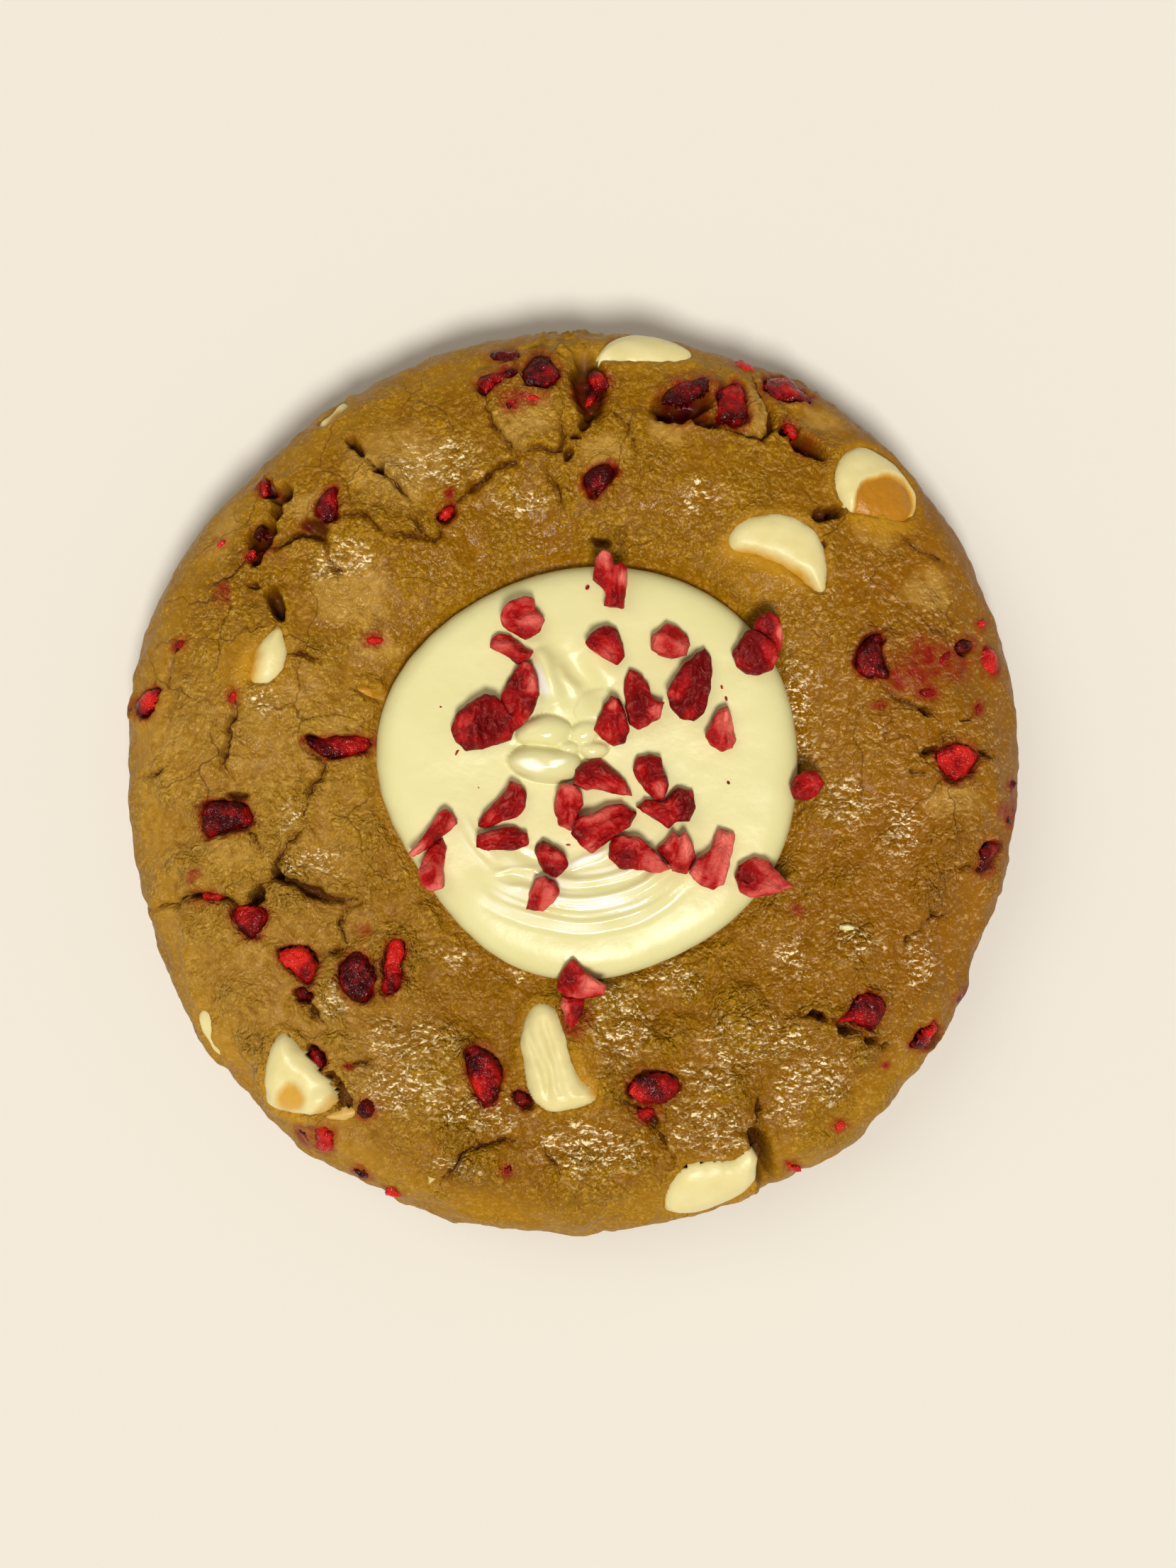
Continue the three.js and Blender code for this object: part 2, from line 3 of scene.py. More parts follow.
import bpy
import numpy as np
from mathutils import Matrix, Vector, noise


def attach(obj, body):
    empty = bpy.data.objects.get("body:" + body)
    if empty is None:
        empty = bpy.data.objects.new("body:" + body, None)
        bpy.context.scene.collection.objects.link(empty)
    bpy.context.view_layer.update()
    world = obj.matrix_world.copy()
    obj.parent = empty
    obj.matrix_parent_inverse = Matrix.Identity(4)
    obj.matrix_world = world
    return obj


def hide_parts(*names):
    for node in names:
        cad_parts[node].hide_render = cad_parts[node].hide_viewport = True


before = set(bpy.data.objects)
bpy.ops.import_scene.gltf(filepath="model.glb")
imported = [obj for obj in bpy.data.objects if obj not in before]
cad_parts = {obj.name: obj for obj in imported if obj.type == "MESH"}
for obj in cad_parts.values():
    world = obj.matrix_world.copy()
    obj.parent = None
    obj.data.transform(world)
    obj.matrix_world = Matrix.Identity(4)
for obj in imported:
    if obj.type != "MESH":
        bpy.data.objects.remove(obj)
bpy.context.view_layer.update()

MM = 0.001
bpy.ops.object.select_all(action="DESELECT")

# ---- the dough -------------------------------------------------------------------------------
# A thick round of soft cookie dough, baked on a tray: golden and matte at the rim, wet and
# crinkled with butter on top, torn open in cracks and hollows. All else is set in it.

BELLY = 6.5  # height of the widest place of the side
CREST = 18.8  # height of the top between the rim and the filling
FOOT_INSET = 3.0  # how much smaller the radius of the foot is than that of the belly
SHOULDER_POWER = 9  # the higher, the flatter the top and the tighter the shoulder
SHOULDER_ROUND = 2.2  # the higher, the straighter the side
WELL_DEPTH = 1.2  # how far the top sinks towards the filling
WELL_START = 34.0  # radius at which it starts to sink
WELL_END = 21.0  # radius at which it is down
SEGMENTS = 960
TOP_STEP = 0.31  # spacing of the rings of the mesh on the top
SIDE_STEP = 0.45
COARSE_STEP = 2.5  # spacing of the rings on the flat underside
DISC_CENTRE = (1.9, 1.4)
LINE_REACH = 1.5  # how far from a crack its distance is kept
RIM_KNOB = (-1.0, 47.6)  # where the far rim is crumbly
MOST_TRIANGLES = 194000

# Each crack: width, depth, how much higher the side left of its path lies, and its path.
CRACKS = [
    (0.5, 1.5, 0.1, [(-36.2, 9.3), (-36.1, 7.7), (-36.6, 6.3), (-36.6, 4.9), (-37.6, 2.0), (-35.8, 0.0)]),
    (0.4, 1.0, 0.1, [(-34.5, -5.0), (-33.9, -5.8), (-33.5, -7.2)]),
    (0.3, 0.8, 0.1, [(-46.6, 0.7), (-45.0, 0.9), (-43.0, 2.0)]),
    (0.3, 0.8, 0.1, [(-41.8, 15.0), (-43.2, 13.7), (-43.4, 12.0), (-43.6, 10.2)]),
    (0.8, 1.8, -0.3, [(-45.2, -13.5), (-42.4, -12.9), (-41.2, -12.1), (-39.5, -12.0), (-36.5, -12.5),
                      (-35.4, -12.9)]),
    (1.0, 1.8, 0.3, [(-33.4, -11.0), (-31.3, -10.0), (-30.2, -10.5), (-28.0, -11.3), (-25.5, -12.4),
                     (-22.8, -12.6)]),
    (0.8, 1.4, 0.0, [(-31.4, -10.0), (-31.4, -8.6), (-30.9, -7.3), (-30.0, -6.2), (-28.6, -5.0)]),
    (0.4, 0.9, -0.2, [(-22.8, -12.6), (-24.4, -14.0), (-24.7, -15.0), (-24.1, -16.4), (-24.0, -17.4)]),
    (0.8, 1.3, 0.2, [(-23.9, -17.4), (-25.2, -18.0), (-26.9, -18.7)]),
    (0.7, 1.5, 0.2, [(-28.6, -22.4), (-27.6, -24.2), (-26.3, -26.2)]),
    (0.4, 0.9, 0.1, [(-36.2, -28.2), (-34.5, -28.2)]),
    (0.4, 0.9, 0.2, [(-23.8, -30.2), (-22.6, -30.0), (-21.6, -29.5)]),
    (0.4, 1.0, 0.2, [(-38.6, 21.0), (-36.6, 22.3), (-35.0, 23.8)]),
    (0.7, 1.2, -0.2, [(-32.9, 25.0), (-31.5, 25.2), (-29.8, 26.3), (-28.0, 26.4), (-26.7, 26.0),
                      (-26.4, 24.8)]),
    (0.6, 1.0, 0.2, [(-26.4, 25.6), (-26.2, 24.2), (-25.4, 22.9), (-24.6, 22.2)]),
    (0.5, 1.0, 0.25, [(-25.0, 28.4), (-23.0, 28.8), (-21.7, 28.4), (-20.7, 27.0), (-19.9, 26.3)]),
    (0.6, 1.1, 0.25, [(-19.9, 26.3), (-18.0, 26.3), (-16.3, 26.1), (-14.6, 25.5), (-13.8, 26.4),
                      (-13.4, 28.0)]),
    (0.4, 0.9, 0.1, [(-17.2, 28.6), (-16.2, 27.0), (-15.0, 25.9)]),
    (0.7, 1.2, 0.25, [(-12.7, 29.4), (-11.2, 30.7), (-10.3, 31.4), (-9.3, 32.5), (-7.8, 33.8), (-6.5, 33.9),
                      (-5.5, 35.0)]),
    (0.6, 1.3, 0.15, [(-22.0, 34.6), (-20.5, 33.4), (-19.3, 32.5), (-18.5, 31.3), (-17.4, 30.3)]),
    (0.5, 1.1, 0.2, [(-9.9, 42.4), (-9.3, 41.0), (-9.5, 39.9), (-8.7, 38.3), (-7.8, 37.2), (-6.6, 36.3),
                     (-5.5, 35.0)]),
    (0.4, 1.0, 0.2, [(-5.5, 35.0), (-4.4, 35.6), (-2.6, 35.4), (-1.2, 35.2), (-0.9, 36.6), (-1.1, 39.0)]),
    (0.3, 0.7, 0.15, [(-3.2, 33.6), (-2.2, 32.0), (-1.6, 30.4), (-0.9, 29.0)]),
    (0.3, 0.6, 0.1, [(3.0, 39.8), (4.5, 39.0), (5.7, 38.2), (6.3, 37.0), (6.6, 35.0)]),
    (0.5, 0.9, 0.2, [(-30.4, 13.9), (-29.0, 13.8), (-27.8, 13.2), (-26.6, 12.6)]),
    (0.4, 0.8, 0.2, [(-28.6, 3.4), (-27.0, 2.4), (-26.4, 1.5), (-27.3, 0.0), (-28.2, -1.2), (-28.6, -4.2)]),
    (0.6, 0.8, -0.35, [(-14.4, -43.4), (-13.0, -41.2), (-12.0, -39.8), (-10.0, -38.6), (-7.5, -38.1),
                       (-5.4, -38.3)]),
    (0.4, 1.0, 0.0, [(-2.8, -39.4), (-2.2, -40.7), (-1.3, -42.1)]),
    (0.9, 1.2, 0.2, [(4.6, -34.0), (7.0, -34.8), (8.2, -36.0), (9.0, -38.0), (10.3, -40.4)]),
    (0.6, 1.3, 0.1, [(22.6, -24.7), (24.6, -24.9), (27.5, -25.0), (28.8, -26.2), (30.5, -26.9),
                     (33.8, -28.6)]),
    (0.6, 1.0, 0.0, [(20.0, -34.0), (20.3, -36.0), (19.6, -37.8)]),
    (0.4, 0.8, 0.1, [(35.7, -16.9), (37.2, -16.0), (38.4, -14.2), (40.4, -14.3), (41.2, -13.8)]),
    (0.7, 1.3, -0.2, [(15.2, 37.8), (18.4, 37.6), (20.1, 36.7), (21.1, 37.6), (21.3, 39.2), (20.9, 40.6),
                      (19.4, 43.6)]),
    (0.7, 1.2, 0.2, [(22.8, 37.8), (24.2, 36.6), (25.4, 34.9), (27.6, 35.1)]),
    (0.3, 0.6, 0.1, [(34.8, 26.7), (36.2, 25.5), (38.2, 24.6), (40.0, 23.6)]),
    (0.5, 0.8, 0.1, [(32.8, 10.2), (34.6, 8.9), (36.2, 8.1), (38.6, 7.2)]),
    (0.5, 0.8, 0.1, [(35.4, 1.6), (36.4, 1.1), (37.4, 0.7)]),
    (0.5, 0.9, 0.2, [(41.2, -9.4), (42.4, -9.2), (43.2, -9.6)]),
]

# Soft valleys between the puffed lobes, most of them on the near side: width, depth and path.
VALLEYS = [
    (2.2, 0.9, [(9.4, -40.8), (8.8, -38.0), (8.6, -35.4)]),
    (2.4, 0.9, [(20.8, -43.0), (20.0, -40.0), (19.9, -37.5), (20.6, -34.6), (21.2, -32.2), (23.4, -28.4)]),
    (1.8, 0.5, [(10.4, -35.0), (12.6, -33.6), (15.4, -34.0), (17.8, -35.6), (19.8, -37.0)]),
    (1.8, 0.6, [(5.4, -30.6), (8.0, -29.6), (12.6, -29.8), (16.4, -30.0), (19.4, -29.6)]),
    (1.8, 0.6, [(19.4, -29.6), (21.4, -27.4), (22.2, -24.8), (20.4, -22.0), (17.6, -20.8)]),
    (1.6, 0.5, [(28.8, -27.0), (29.4, -30.4), (32.4, -31.0), (34.0, -29.4)]),
    (1.8, 0.5, [(6.6, -29.6), (7.0, -26.0), (9.6, -23.6), (13.0, -23.4), (17.6, -20.8)]),
    (2.0, 0.5, [(-27.0, -36.2), (-22.4, -37.4), (-17.6, -36.6), (-15.6, -38.6), (-13.2, -40.6)]),
    (2.4, 0.5, [(-23.6, -24.6), (-18.0, -25.2), (-12.0, -24.6), (-6.4, -25.4)]),
    (1.6, 0.4, [(-23.2, -29.6), (-18.6, -30.2), (-14.2, -29.4), (-12.2, -29.8)]),
    (1.6, 0.5, [(-12.6, -37.0), (-9.0, -35.4), (-6.4, -34.4)]),
    (1.8, 0.6, [(-0.6, -34.6), (3.0, -34.4), (5.0, -34.2)]),
    (1.6, 0.5, [(-5.4, -38.6), (-2.4, -38.8), (0.4, -41.4), (4.6, -42.6), (8.6, -42.2)]),
    (1.6, 0.4, [(23.4, -12.8), (24.2, -16.4), (22.2, -19.4), (17.6, -20.8)]),
    (1.6, 0.4, [(25.0, -16.0), (29.6, -18.4), (32.2, -21.2)]),
    (1.6, 0.4, [(33.6, -19.0), (36.2, -16.8), (39.2, -14.8)]),
    (1.8, 0.4, [(24.0, 21.0), (28.4, 22.0), (33.0, 20.4), (36.4, 17.4)]),
]

# Hollows torn open, most of them beside berries: middle, heading, half length, half width, depth.
HOLLOWS = [
    (11.6, 40.4, 16, 3.4, 1.8, 3.2),
    (14.2, 38.6, -20, 1.6, 0.7, 2.0),
    (9.8, 40.3, -10, 1.0, 0.5, 1.2),
    (-35.9, -1.5, -10, 1.4, 0.5, 1.4),
    (-27.7, 4.3, -35, 1.1, 0.8, 1.5),
    (-33.3, 26.4, 60, 1.9, 1.2, 3.0),
    (-33.8, 24.0, 60, 1.1, 0.6, 2.0),
    (-31.3, 31.0, 60, 1.3, 1.1, 3.0),
    (-31.9, 29.1, 80, 1.1, 0.6, 2.0),
    (-32.9, 31.8, 80, 1.2, 0.7, 2.0),
    (-31.5, 18.9, 105, 2.0, 0.85, 3.0),
    (-34.0, 21.0, -20, 1.0, 0.3, 0.8),
    (-23.3, 36.1, 130, 1.5, 0.6, 2.0),
    (-20.6, 33.4, 0, 0.6, 0.5, 1.4),
    (-13.4, 28.5, 40, 1.1, 0.8, 1.4),
    (-27.6, 27.2, -20, 1.7, 0.7, 1.2),
    (26.6, 28.5, 10, 1.1, 0.8, 1.6),
    (28.0, 28.9, 30, 0.9, 0.7, 2.2),
    (26.6, 25.2, 70, 0.7, 0.25, 1.0),
    (25.2, 35.8, -40, 2.2, 1.0, 2.6),
    (23.0, 37.7, 10, 1.2, 0.7, 2.0),
    (1.7, 42.4, 100, 4.0, 1.9, 2.2),
    (1.4, 38.6, 60, 1.4, 0.5, 1.4),
    (0.2, 36.7, 20, 0.5, 0.35, 1.3),
    (-0.5, 34.8, 70, 0.7, 0.5, 1.4),
    (25.9, -24.8, 0, 1.2, 0.5, 1.8),
    (29.1, -26.5, -40, 1.0, 0.7, 2.0),
    (32.0, -27.8, 0, 0.9, 0.6, 1.3),
    (33.6, -28.4, 0, 0.5, 0.4, 1.2),
    (20.5, -40.9, 100, 3.4, 1.3, 3.4),
    (19.4, -37.9, 75, 1.0, 0.5, 2.2),
    (-33.9, -12.2, 60, 1.2, 0.8, 2.6),
    (-31.5, -9.7, 80, 0.9, 0.7, 1.8),
    (-5.4, -33.8, -30, 1.2, 0.8, 1.4),
    (-28.6, -22.6, -20, 1.3, 0.8, 1.6),
    (-25.5, -31.6, -60, 1.0, 0.5, 2.2),
    (-24.6, -33.4, -75, 1.8, 0.9, 1.6),
    (-27.4, -29.2, -60, 1.6, 0.8, 1.6),
    (37.9, 3.5, 20, 1.1, 0.5, 1.4),
    (43.8, 3.1, -30, 0.9, 0.4, 1.2),
    (37.5, 7.6, -15, 0.7, 0.5, 1.3),
    (41.9, 6.6, 10, 0.8, 0.25, 0.8),
    (41.7, 14.4, 0, 1.0, 0.8, 1.2),
    (38.4, -14.1, 0, 0.5, 0.35, 1.2),
    (35.7, -16.8, 0, 0.3, 0.3, 1.0),
    (3.0, 25.4, 0, 1.4, 0.6, 0.7),
]

# Outlines of the berries in the dough, each with how bright its red is and its brightest place.
BAKED_BERRIES = [
    (0.15, (-26.0, 29.8), [(-25.3, 31.5), (-26.4, 30.9), (-27.4, 29.5), (-27.2, 28.2), (-26.3, 27.5),
                           (-25.3, 27.9), (-25.0, 29.6)]),
    (0.0, (-3.0, 42.6), [(-5.2, 44.6), (-3.8, 45.7), (-2.4, 45.2), (-1.2, 43.6), (-2.7, 41.9), (-4.2, 42.4),
                         (-5.3, 42.5)]),
    (0.35, (-8.6, 42.9), [(-10.4, 42.8), (-8.5, 43.6), (-5.7, 44.3), (-6.4, 43.3), (-8.2, 42.8),
                          (-9.3, 41.5), (-9.8, 41.9)]),
    (0.10, (3.6, 32.6), [(1.1, 32.2), (1.9, 33.5), (3.1, 34.0), (4.4, 33.4), (4.4, 32.4), (3.3, 31.1),
                         (2.2, 30.0), (1.5, 30.8)]),
    (0.35, (-45.4, 9.0), [(-47.5, 8.5), (-46.0, 9.7), (-44.3, 10.1), (-44.7, 8.9), (-45.7, 7.7),
                          (-46.9, 6.9)]),
    (0.30, (-23.3, 4.1), [(-28.0, 4.4), (-25.4, 4.9), (-21.8, 5.0), (-21.3, 3.9), (-23.5, 3.0),
                          (-25.9, 2.4), (-27.3, 3.2)]),
    (0.08, (-35.7, -3.8), [(-39.7, -2.7), (-38.2, -1.9), (-34.8, -2.3), (-34.0, -3.9), (-34.6, -4.9),
                           (-37.0, -5.2), (-39.2, -5.9)]),
    (0.30, (-34.8, -14.0), [(-36.4, -13.4), (-34.5, -13.1), (-32.3, -13.6), (-33.0, -15.2), (-34.3, -16.7),
                            (-35.6, -15.6)]),
    (0.50, (-30.0, -18.4), [(-31.8, -18.2), (-29.6, -17.5), (-28.0, -17.7), (-27.1, -19.5), (-28.2, -21.6),
                            (-29.4, -20.4)]),
    (0.05, (-22.9, -18.7), [(-24.9, -19.9), (-23.7, -18.2), (-22.2, -18.2), (-21.0, -20.3), (-21.1, -22.4),
                            (-22.9, -23.4), (-24.5, -22.2)]),
    (0.55, (-19.0, -18.2), [(-19.7, -17.2), (-18.7, -16.5), (-18.0, -17.4), (-18.5, -21.4), (-19.5, -22.7),
                            (-20.6, -22.0), (-20.0, -19.6)]),
    (0.22, (-10.4, -31.6), [(-11.6, -28.4), (-10.2, -27.8), (-8.6, -29.1), (-7.5, -30.6), (-8.4, -34.2),
                            (-9.6, -34.5), (-11.1, -31.6)]),
    (0.30, (7.0, -32.3), [(5.8, -32.5), (6.8, -31.1), (9.6, -30.7), (11.3, -31.8), (11.0, -33.2),
                          (9.0, -34.1), (6.7, -33.8)]),
    (0.30, (29.2, -24.8), [(27.9, -25.3), (29.3, -24.2), (30.0, -22.9), (31.6, -22.3), (33.3, -23.6),
                           (32.8, -25.4), (31.7, -26.4), (30.3, -25.5)]),
    (0.40, (38.4, -26.9), [(36.2, -28.5), (37.4, -27.1), (39.6, -26.0), (38.8, -27.6), (37.8, -28.7)]),
    (0.15, (44.9, -6.8), [(43.9, -6.9), (45.2, -6.2), (45.8, -7.0), (44.9, -8.2), (44.2, -9.6),
                          (43.3, -9.5)]),
    (0.30, (17.2, 41.2), [(15.2, 42.1), (17.9, 43.0), (18.4, 41.0), (18.7, 38.4), (16.8, 38.3),
                          (15.2, 38.4), (15.5, 40.4)]),
    (0.35, (21.8, 42.8), [(20.4, 42.7), (21.0, 43.9), (22.8, 43.9), (25.6, 41.9), (25.6, 41.1),
                          (23.0, 41.2), (21.4, 41.3)]),
    (0.50, (41.4, 3.0), [(38.4, 2.9), (39.6, 3.9), (41.3, 4.1), (43.3, 3.0), (41.9, 1.0), (40.3, 0.2),
                         (39.2, 1.2)]),
    (0.05, (32.8, 11.6), [(32.9, 16.0), (31.4, 15.5), (29.9, 13.6), (30.2, 11.5), (32.0, 11.0),
                          (33.8, 11.1), (32.5, 13.2)]),
]

# Crumbs of berry too small to be pieces of the kind above: middle, heading, half length, half
# width, brightness.
BERRY_CRUMBS = [
    (-7.4, 45.9, 0, 1.7, 0.55, 0.1), (-5.3, 40.9, 0, 2.1, 0.4, 0.5), (-6.9, 40.2, 70, 0.8, 0.5, 0.1),
    (12.1, 41.7, 25, 2.9, 1.1, 0.12), (18.5, 45.2, -25, 1.2, 0.6, 0.9),
    (23.2, 37.7, -55, 1.0, 0.5, 0.4), (2.7, 42.9, -30, 1.4, 0.9, 0.2), (1.9, 41.0, 60, 0.8, 0.4, 0.15),
    (44.8, 13.2, -75, 1.6, 0.75, 0.5), (41.9, 14.7, 20, 1.1, 0.7, 0.05), (37.5, 9.5, 5, 1.0, 0.5, 0.3),
    (39.6, 13.4, 40, 0.9, 0.5, 0.25), (38.4, 14.1, 20, 0.7, 0.3, 0.3), (36.4, 11.9, 0, 0.6, 0.3, 0.35),
    (32.6, 8.2, 0, 0.5, 0.3, 0.35), (43.9, 17.1, 60, 0.4, 0.3, 0.3), (43.3, 7.9, 80, 0.6, 0.3, 0.2),
    (47.3, -3.6, 88, 1.4, 0.35, 0.1), (47.3, -0.4, 80, 0.5, 0.3, 0.05),
    (42.2, -23.2, 65, 0.8, 0.3, 0.05), (28.7, -36.9, 25, 0.6, 0.35, 0.45),
    (24.0, -41.9, -15, 0.6, 0.25, 0.4), (7.7, -35.2, 0, 0.9, 0.7, 0.2),
    (-5.5, -33.6, -20, 0.9, 0.6, 0.1), (-22.3, -34.8, -10, 1.0, 1.0, 0.1),
    (-26.9, -38.2, -70, 1.5, 0.95, 0.4), (-28.9, -37.8, -60, 1.3, 0.5, 0.15),
    (-27.2, -29.4, -60, 1.1, 0.6, 0.2), (-23.0, -42.4, -25, 0.8, 0.3, 0.05),
    (-19.5, -44.4, -20, 0.9, 0.35, 0.45), (-38.5, -12.1, -5, 1.1, 0.4, 0.35),
    (-33.3, 31.7, 75, 0.9, 0.4, 0.15), (-34.5, 24.2, 30, 0.6, 0.5, 0.3),
    (-33.5, 26.6, 60, 0.7, 0.5, 0.05), (-37.4, 19.9, 75, 0.8, 0.4, 0.3),
    (-37.9, 25.6, 30, 0.6, 0.3, 0.35), (-42.1, 14.8, 50, 0.6, 0.3, 0.2),
    (-21.2, 15.2, -8, 0.9, 0.4, 0.75), (-36.2, 9.1, 80, 0.5, 0.3, 0.4),
    (-13.4, 28.7, 45, 0.9, 0.5, 0.2), (-40.2, -9.8, 30, 0.4, 0.3, 0.3),
    (-7.0, -41.3, 30, 0.4, 0.25, 0.25), (-28.6, -22.5, -10, 0.8, 0.5, 0.2),
    (0.3, -25.0, -80, 1.6, 1.2, 0.0), (-28.0, 4.2, -30, 0.6, 0.4, 0.05),
]

# Outlines of the chips, each with how far it stands out of the dough. The last two are slivers.
CHIPS = [
    (0.9, [(2.4, 44.9), (3.4, 47.0), (6.3, 48.6), (9.8, 48.0), (13.3, 45.8), (10.4, 45.4), (6.4, 45.5)]),
    (0.6, [(28.3, 30.4), (27.9, 33.0), (28.9, 35.3), (30.8, 36.1), (34.0, 34.9), (36.4, 32.2), (36.8, 29.4),
           (35.6, 27.9), (33.0, 27.4), (30.2, 28.4)]),
    (0.5, [(16.4, 25.4), (17.2, 27.2), (19.6, 28.5), (23.2, 28.3), (25.8, 26.6), (26.9, 23.6), (26.6, 20.3),
           (25.8, 20.4), (24.2, 21.6), (21.8, 22.9), (19.0, 23.9), (17.0, 24.5)]),
    (0.4, [(-27.8, 38.7), (-26.4, 39.8), (-25.1, 41.4), (-24.3, 41.0), (-25.6, 39.4), (-26.8, 38.4)]),
    (0.4, [(-31.3, 16.7), (-30.6, 14.4), (-30.8, 12.2), (-32.4, 10.5), (-34.6, 10.7), (-34.6, 12.8),
           (-33.2, 14.8)]),
    (0.4, [(-40.3, -24.4), (-39.0, -25.4), (-38.7, -27.4), (-37.9, -29.8), (-38.9, -29.0), (-40.3, -26.8)]),
    (1.4, [(-31.2, -26.8), (-30.0, -27.1), (-27.6, -30.2), (-25.0, -33.2), (-25.9, -34.9), (-28.6, -35.3),
           (-31.6, -34.8), (-33.0, -33.4), (-32.5, -29.2)]),
    (0.8, [(-4.4, -23.7), (-2.2, -23.6), (-1.0, -26.0), (0.2, -31.6), (3.0, -33.2), (0.6, -34.5),
           (-2.8, -34.9), (-4.4, -33.4), (-5.0, -30.4), (-5.6, -27.4)]),
    (0.5, [(9.7, -46.3), (10.2, -43.6), (11.6, -41.4), (14.2, -40.8), (17.6, -40.8), (18.9, -39.2),
           (19.7, -40.6), (19.2, -43.8), (15.6, -46.1), (12.2, -46.8)]),
    (0.2, [(-23.2, 10.3), (-21.6, 10.3), (-20.5, 9.2), (-20.8, 8.4), (-22.6, 9.3)]),
    (0.2, [(-26.9, -36.0), (-25.4, -35.1), (-23.2, -34.9), (-23.4, -35.6), (-25.2, -36.2)]),
]

# Films of dough over the buried side of a chip: middle, heading, half length, half width, height.
FILMS_OVER = [
    (32.6, 27.4, -10, 4.2, 1.9, 0.35), (19.2, 22.4, -25, 6.4, 2.6, 0.25), (-35.6, 12.6, 75, 3.2, 2.2, 0.2),
    (1.4, -28.6, 100, 5.0, 1.6, 0.1),
]

# Where juice soaked into the dough: middle and radius.
JUICE_STAINS = [
    (37.0, 12.6, 4.4), (41.0, 13.0, 3.2), (34.6, 11.2, 2.6), (1.8, 42.0, 3.2), (41.2, 2.6, 2.4),
    (12.0, 40.6, 4.4), (-33.3, 25.4, 2.2), (25.0, 35.9, 1.8), (-33.0, 31.4, 1.4), (-40.0, -12.3, 1.6),
    (-28.6, -22.6, 1.6), (-5.4, -33.8, 1.6), (7.9, -35.6, 1.6), (-22.2, -15.8, 1.2), (-13.2, 30.6, 1.0),
    (-28.8, 27.4, 1.2), (-6.0, 40.2, 1.8), (46.0, -3.0, 1.4), (34.0, -30.6, 1.0), (-19.6, -44.2, 1.2),
    (-24.0, -30.4, 0.8), (24.0, -13.6, 1.2),
]

# Where butter pooled, glossier and with painted glints: middle, half length along x, half width along y.
WET_PATCHES = [
    (-12.8, -18.6, 2.6, 1.0), (-6.2, -20.4, 2.4, 0.8), (-17.5, -27.6, 5.5, 2.6),
    (-18.0, -32.4, 6.0, 3.0), (-9.6, -35.2, 5.0, 2.2), (4.5, -25.6, 4.0, 5.0), (2.0, -39.0, 6.5, 3.4),
    (23.2, -33.6, 1.8, 4.2), (14.6, -37.0, 5.0, 3.4), (14.4, -31.6, 3.6, 1.8), (-25.6, -22.8, 1.4, 2.6),
    (26.5, -31.5, 3.4, 3.0), (-13.0, -41.0, 3.0, 1.2), (-33.0, 8.6, 1.6, 1.6), (-30.0, -3.6, 1.4, 2.0),
    (-27.4, -8.4, 3.0, 1.6), (23.2, 8.0, 3.4, 7.0), (29.0, -2.0, 3.0, 3.0), (10.4, -21.0, 3.4, 1.8),
    (23.0, -18.0, 3.0, 2.2), (30.0, -17.4, 2.6, 2.0), (37.0, -18.8, 2.0, 2.8), (22.6, -27.4, 3.4, 1.8),
    (35.0, -5.0, 2.4, 3.6), (17.6, -27.4, 4.0, 3.4), (-14.5, 34.0, 5.0, 3.0), (-24.5, 23.5, 4.0, 2.0),
    (14.0, 30.5, 3.0, 1.6), (-6.0, 29.8, 3.4, 1.4),
]

# Where the skin dried pale: middle, half length, half width.
PALE_PATCHES = [
    (-19.0, 34.0, 5.0, 4.6), (-5.0, 38.6, 3.6, 2.6), (-23.4, 20.4, 4.4, 3.6), (-20.6, 14.2, 3.0, 1.4),
    (-26.0, 6.0, 3.6, 1.2), (3.2, 35.4, 2.6, 1.8), (19.6, 40.2, 1.4, 3.0), (-28.6, 29.4, 3.0, 1.6),
    (27.0, 39.0, 3.0, 1.4), (-38.0, 27.4, 2.0, 4.0), (-37.0, -7.4, 3.0, 2.0), (40.6, -2.0, 3.4, 1.6),
    (-34.0, -18.4, 2.4, 1.6), (10.4, 37.2, 3.0, 1.2), (38.0, 20.6, 3.0, 2.4), (-43.0, 4.6, 2.0, 3.0),
    (33.0, 26.0, 2.0, 1.4),
]

# Where syrup browned the dough to amber: middle, half length, half width.
AMBER_PATCHES = [
    (-22.5, -39.5, 5.0, 3.6), (-12.5, -24.2, 8.0, 2.0), (21.6, -26.0, 1.8, 2.4), (6.6, -30.6, 1.8, 3.0),
    (17.4, -30.4, 2.0, 1.0), (8.8, -38.0, 1.4, 3.4), (28.0, -21.0, 3.0, 2.0), (-22.0, -14.8, 2.0, 2.0),
]


def smoothstep(low, high, x):
    """0 below low, 1 above high, smooth in between; low may be the larger."""
    t = np.clip((x - low) / (high - low), 0, 1)
    return t * t * (3 - 2 * t)


def ripple(points, size, seed):
    """Smooth noise from about -1 to 1 at points in mm, with its bumps about size mm apart."""
    places = (points / size + 31.7 * seed).tolist()
    return np.array([noise.noise(place) for place in places])


def ridges(points, size, seed):
    """Noise like ripple's, but with sharp crests and broad dips."""
    return 1 - 2 * np.abs(ripple(points, size, seed))


def cells(points, size, seed):
    """Distance to the nearest seed of scattered cells about size mm across, in cells."""
    places = (points / size + 17.3 * seed).tolist()
    return np.array([noise.voronoi(place)[0][0] for place in places])


def hump(gap, width):
    """1 where the gap is 0, fading out on both sides over about twice the width."""
    return np.exp(-((gap / width) ** 2))


def tapering(along, tip):
    """1 in the middle of a path and less towards its ends; a larger tip keeps the ends higher."""
    return np.sqrt(np.sin(math.pi * np.clip(along, tip, 1 - tip)))


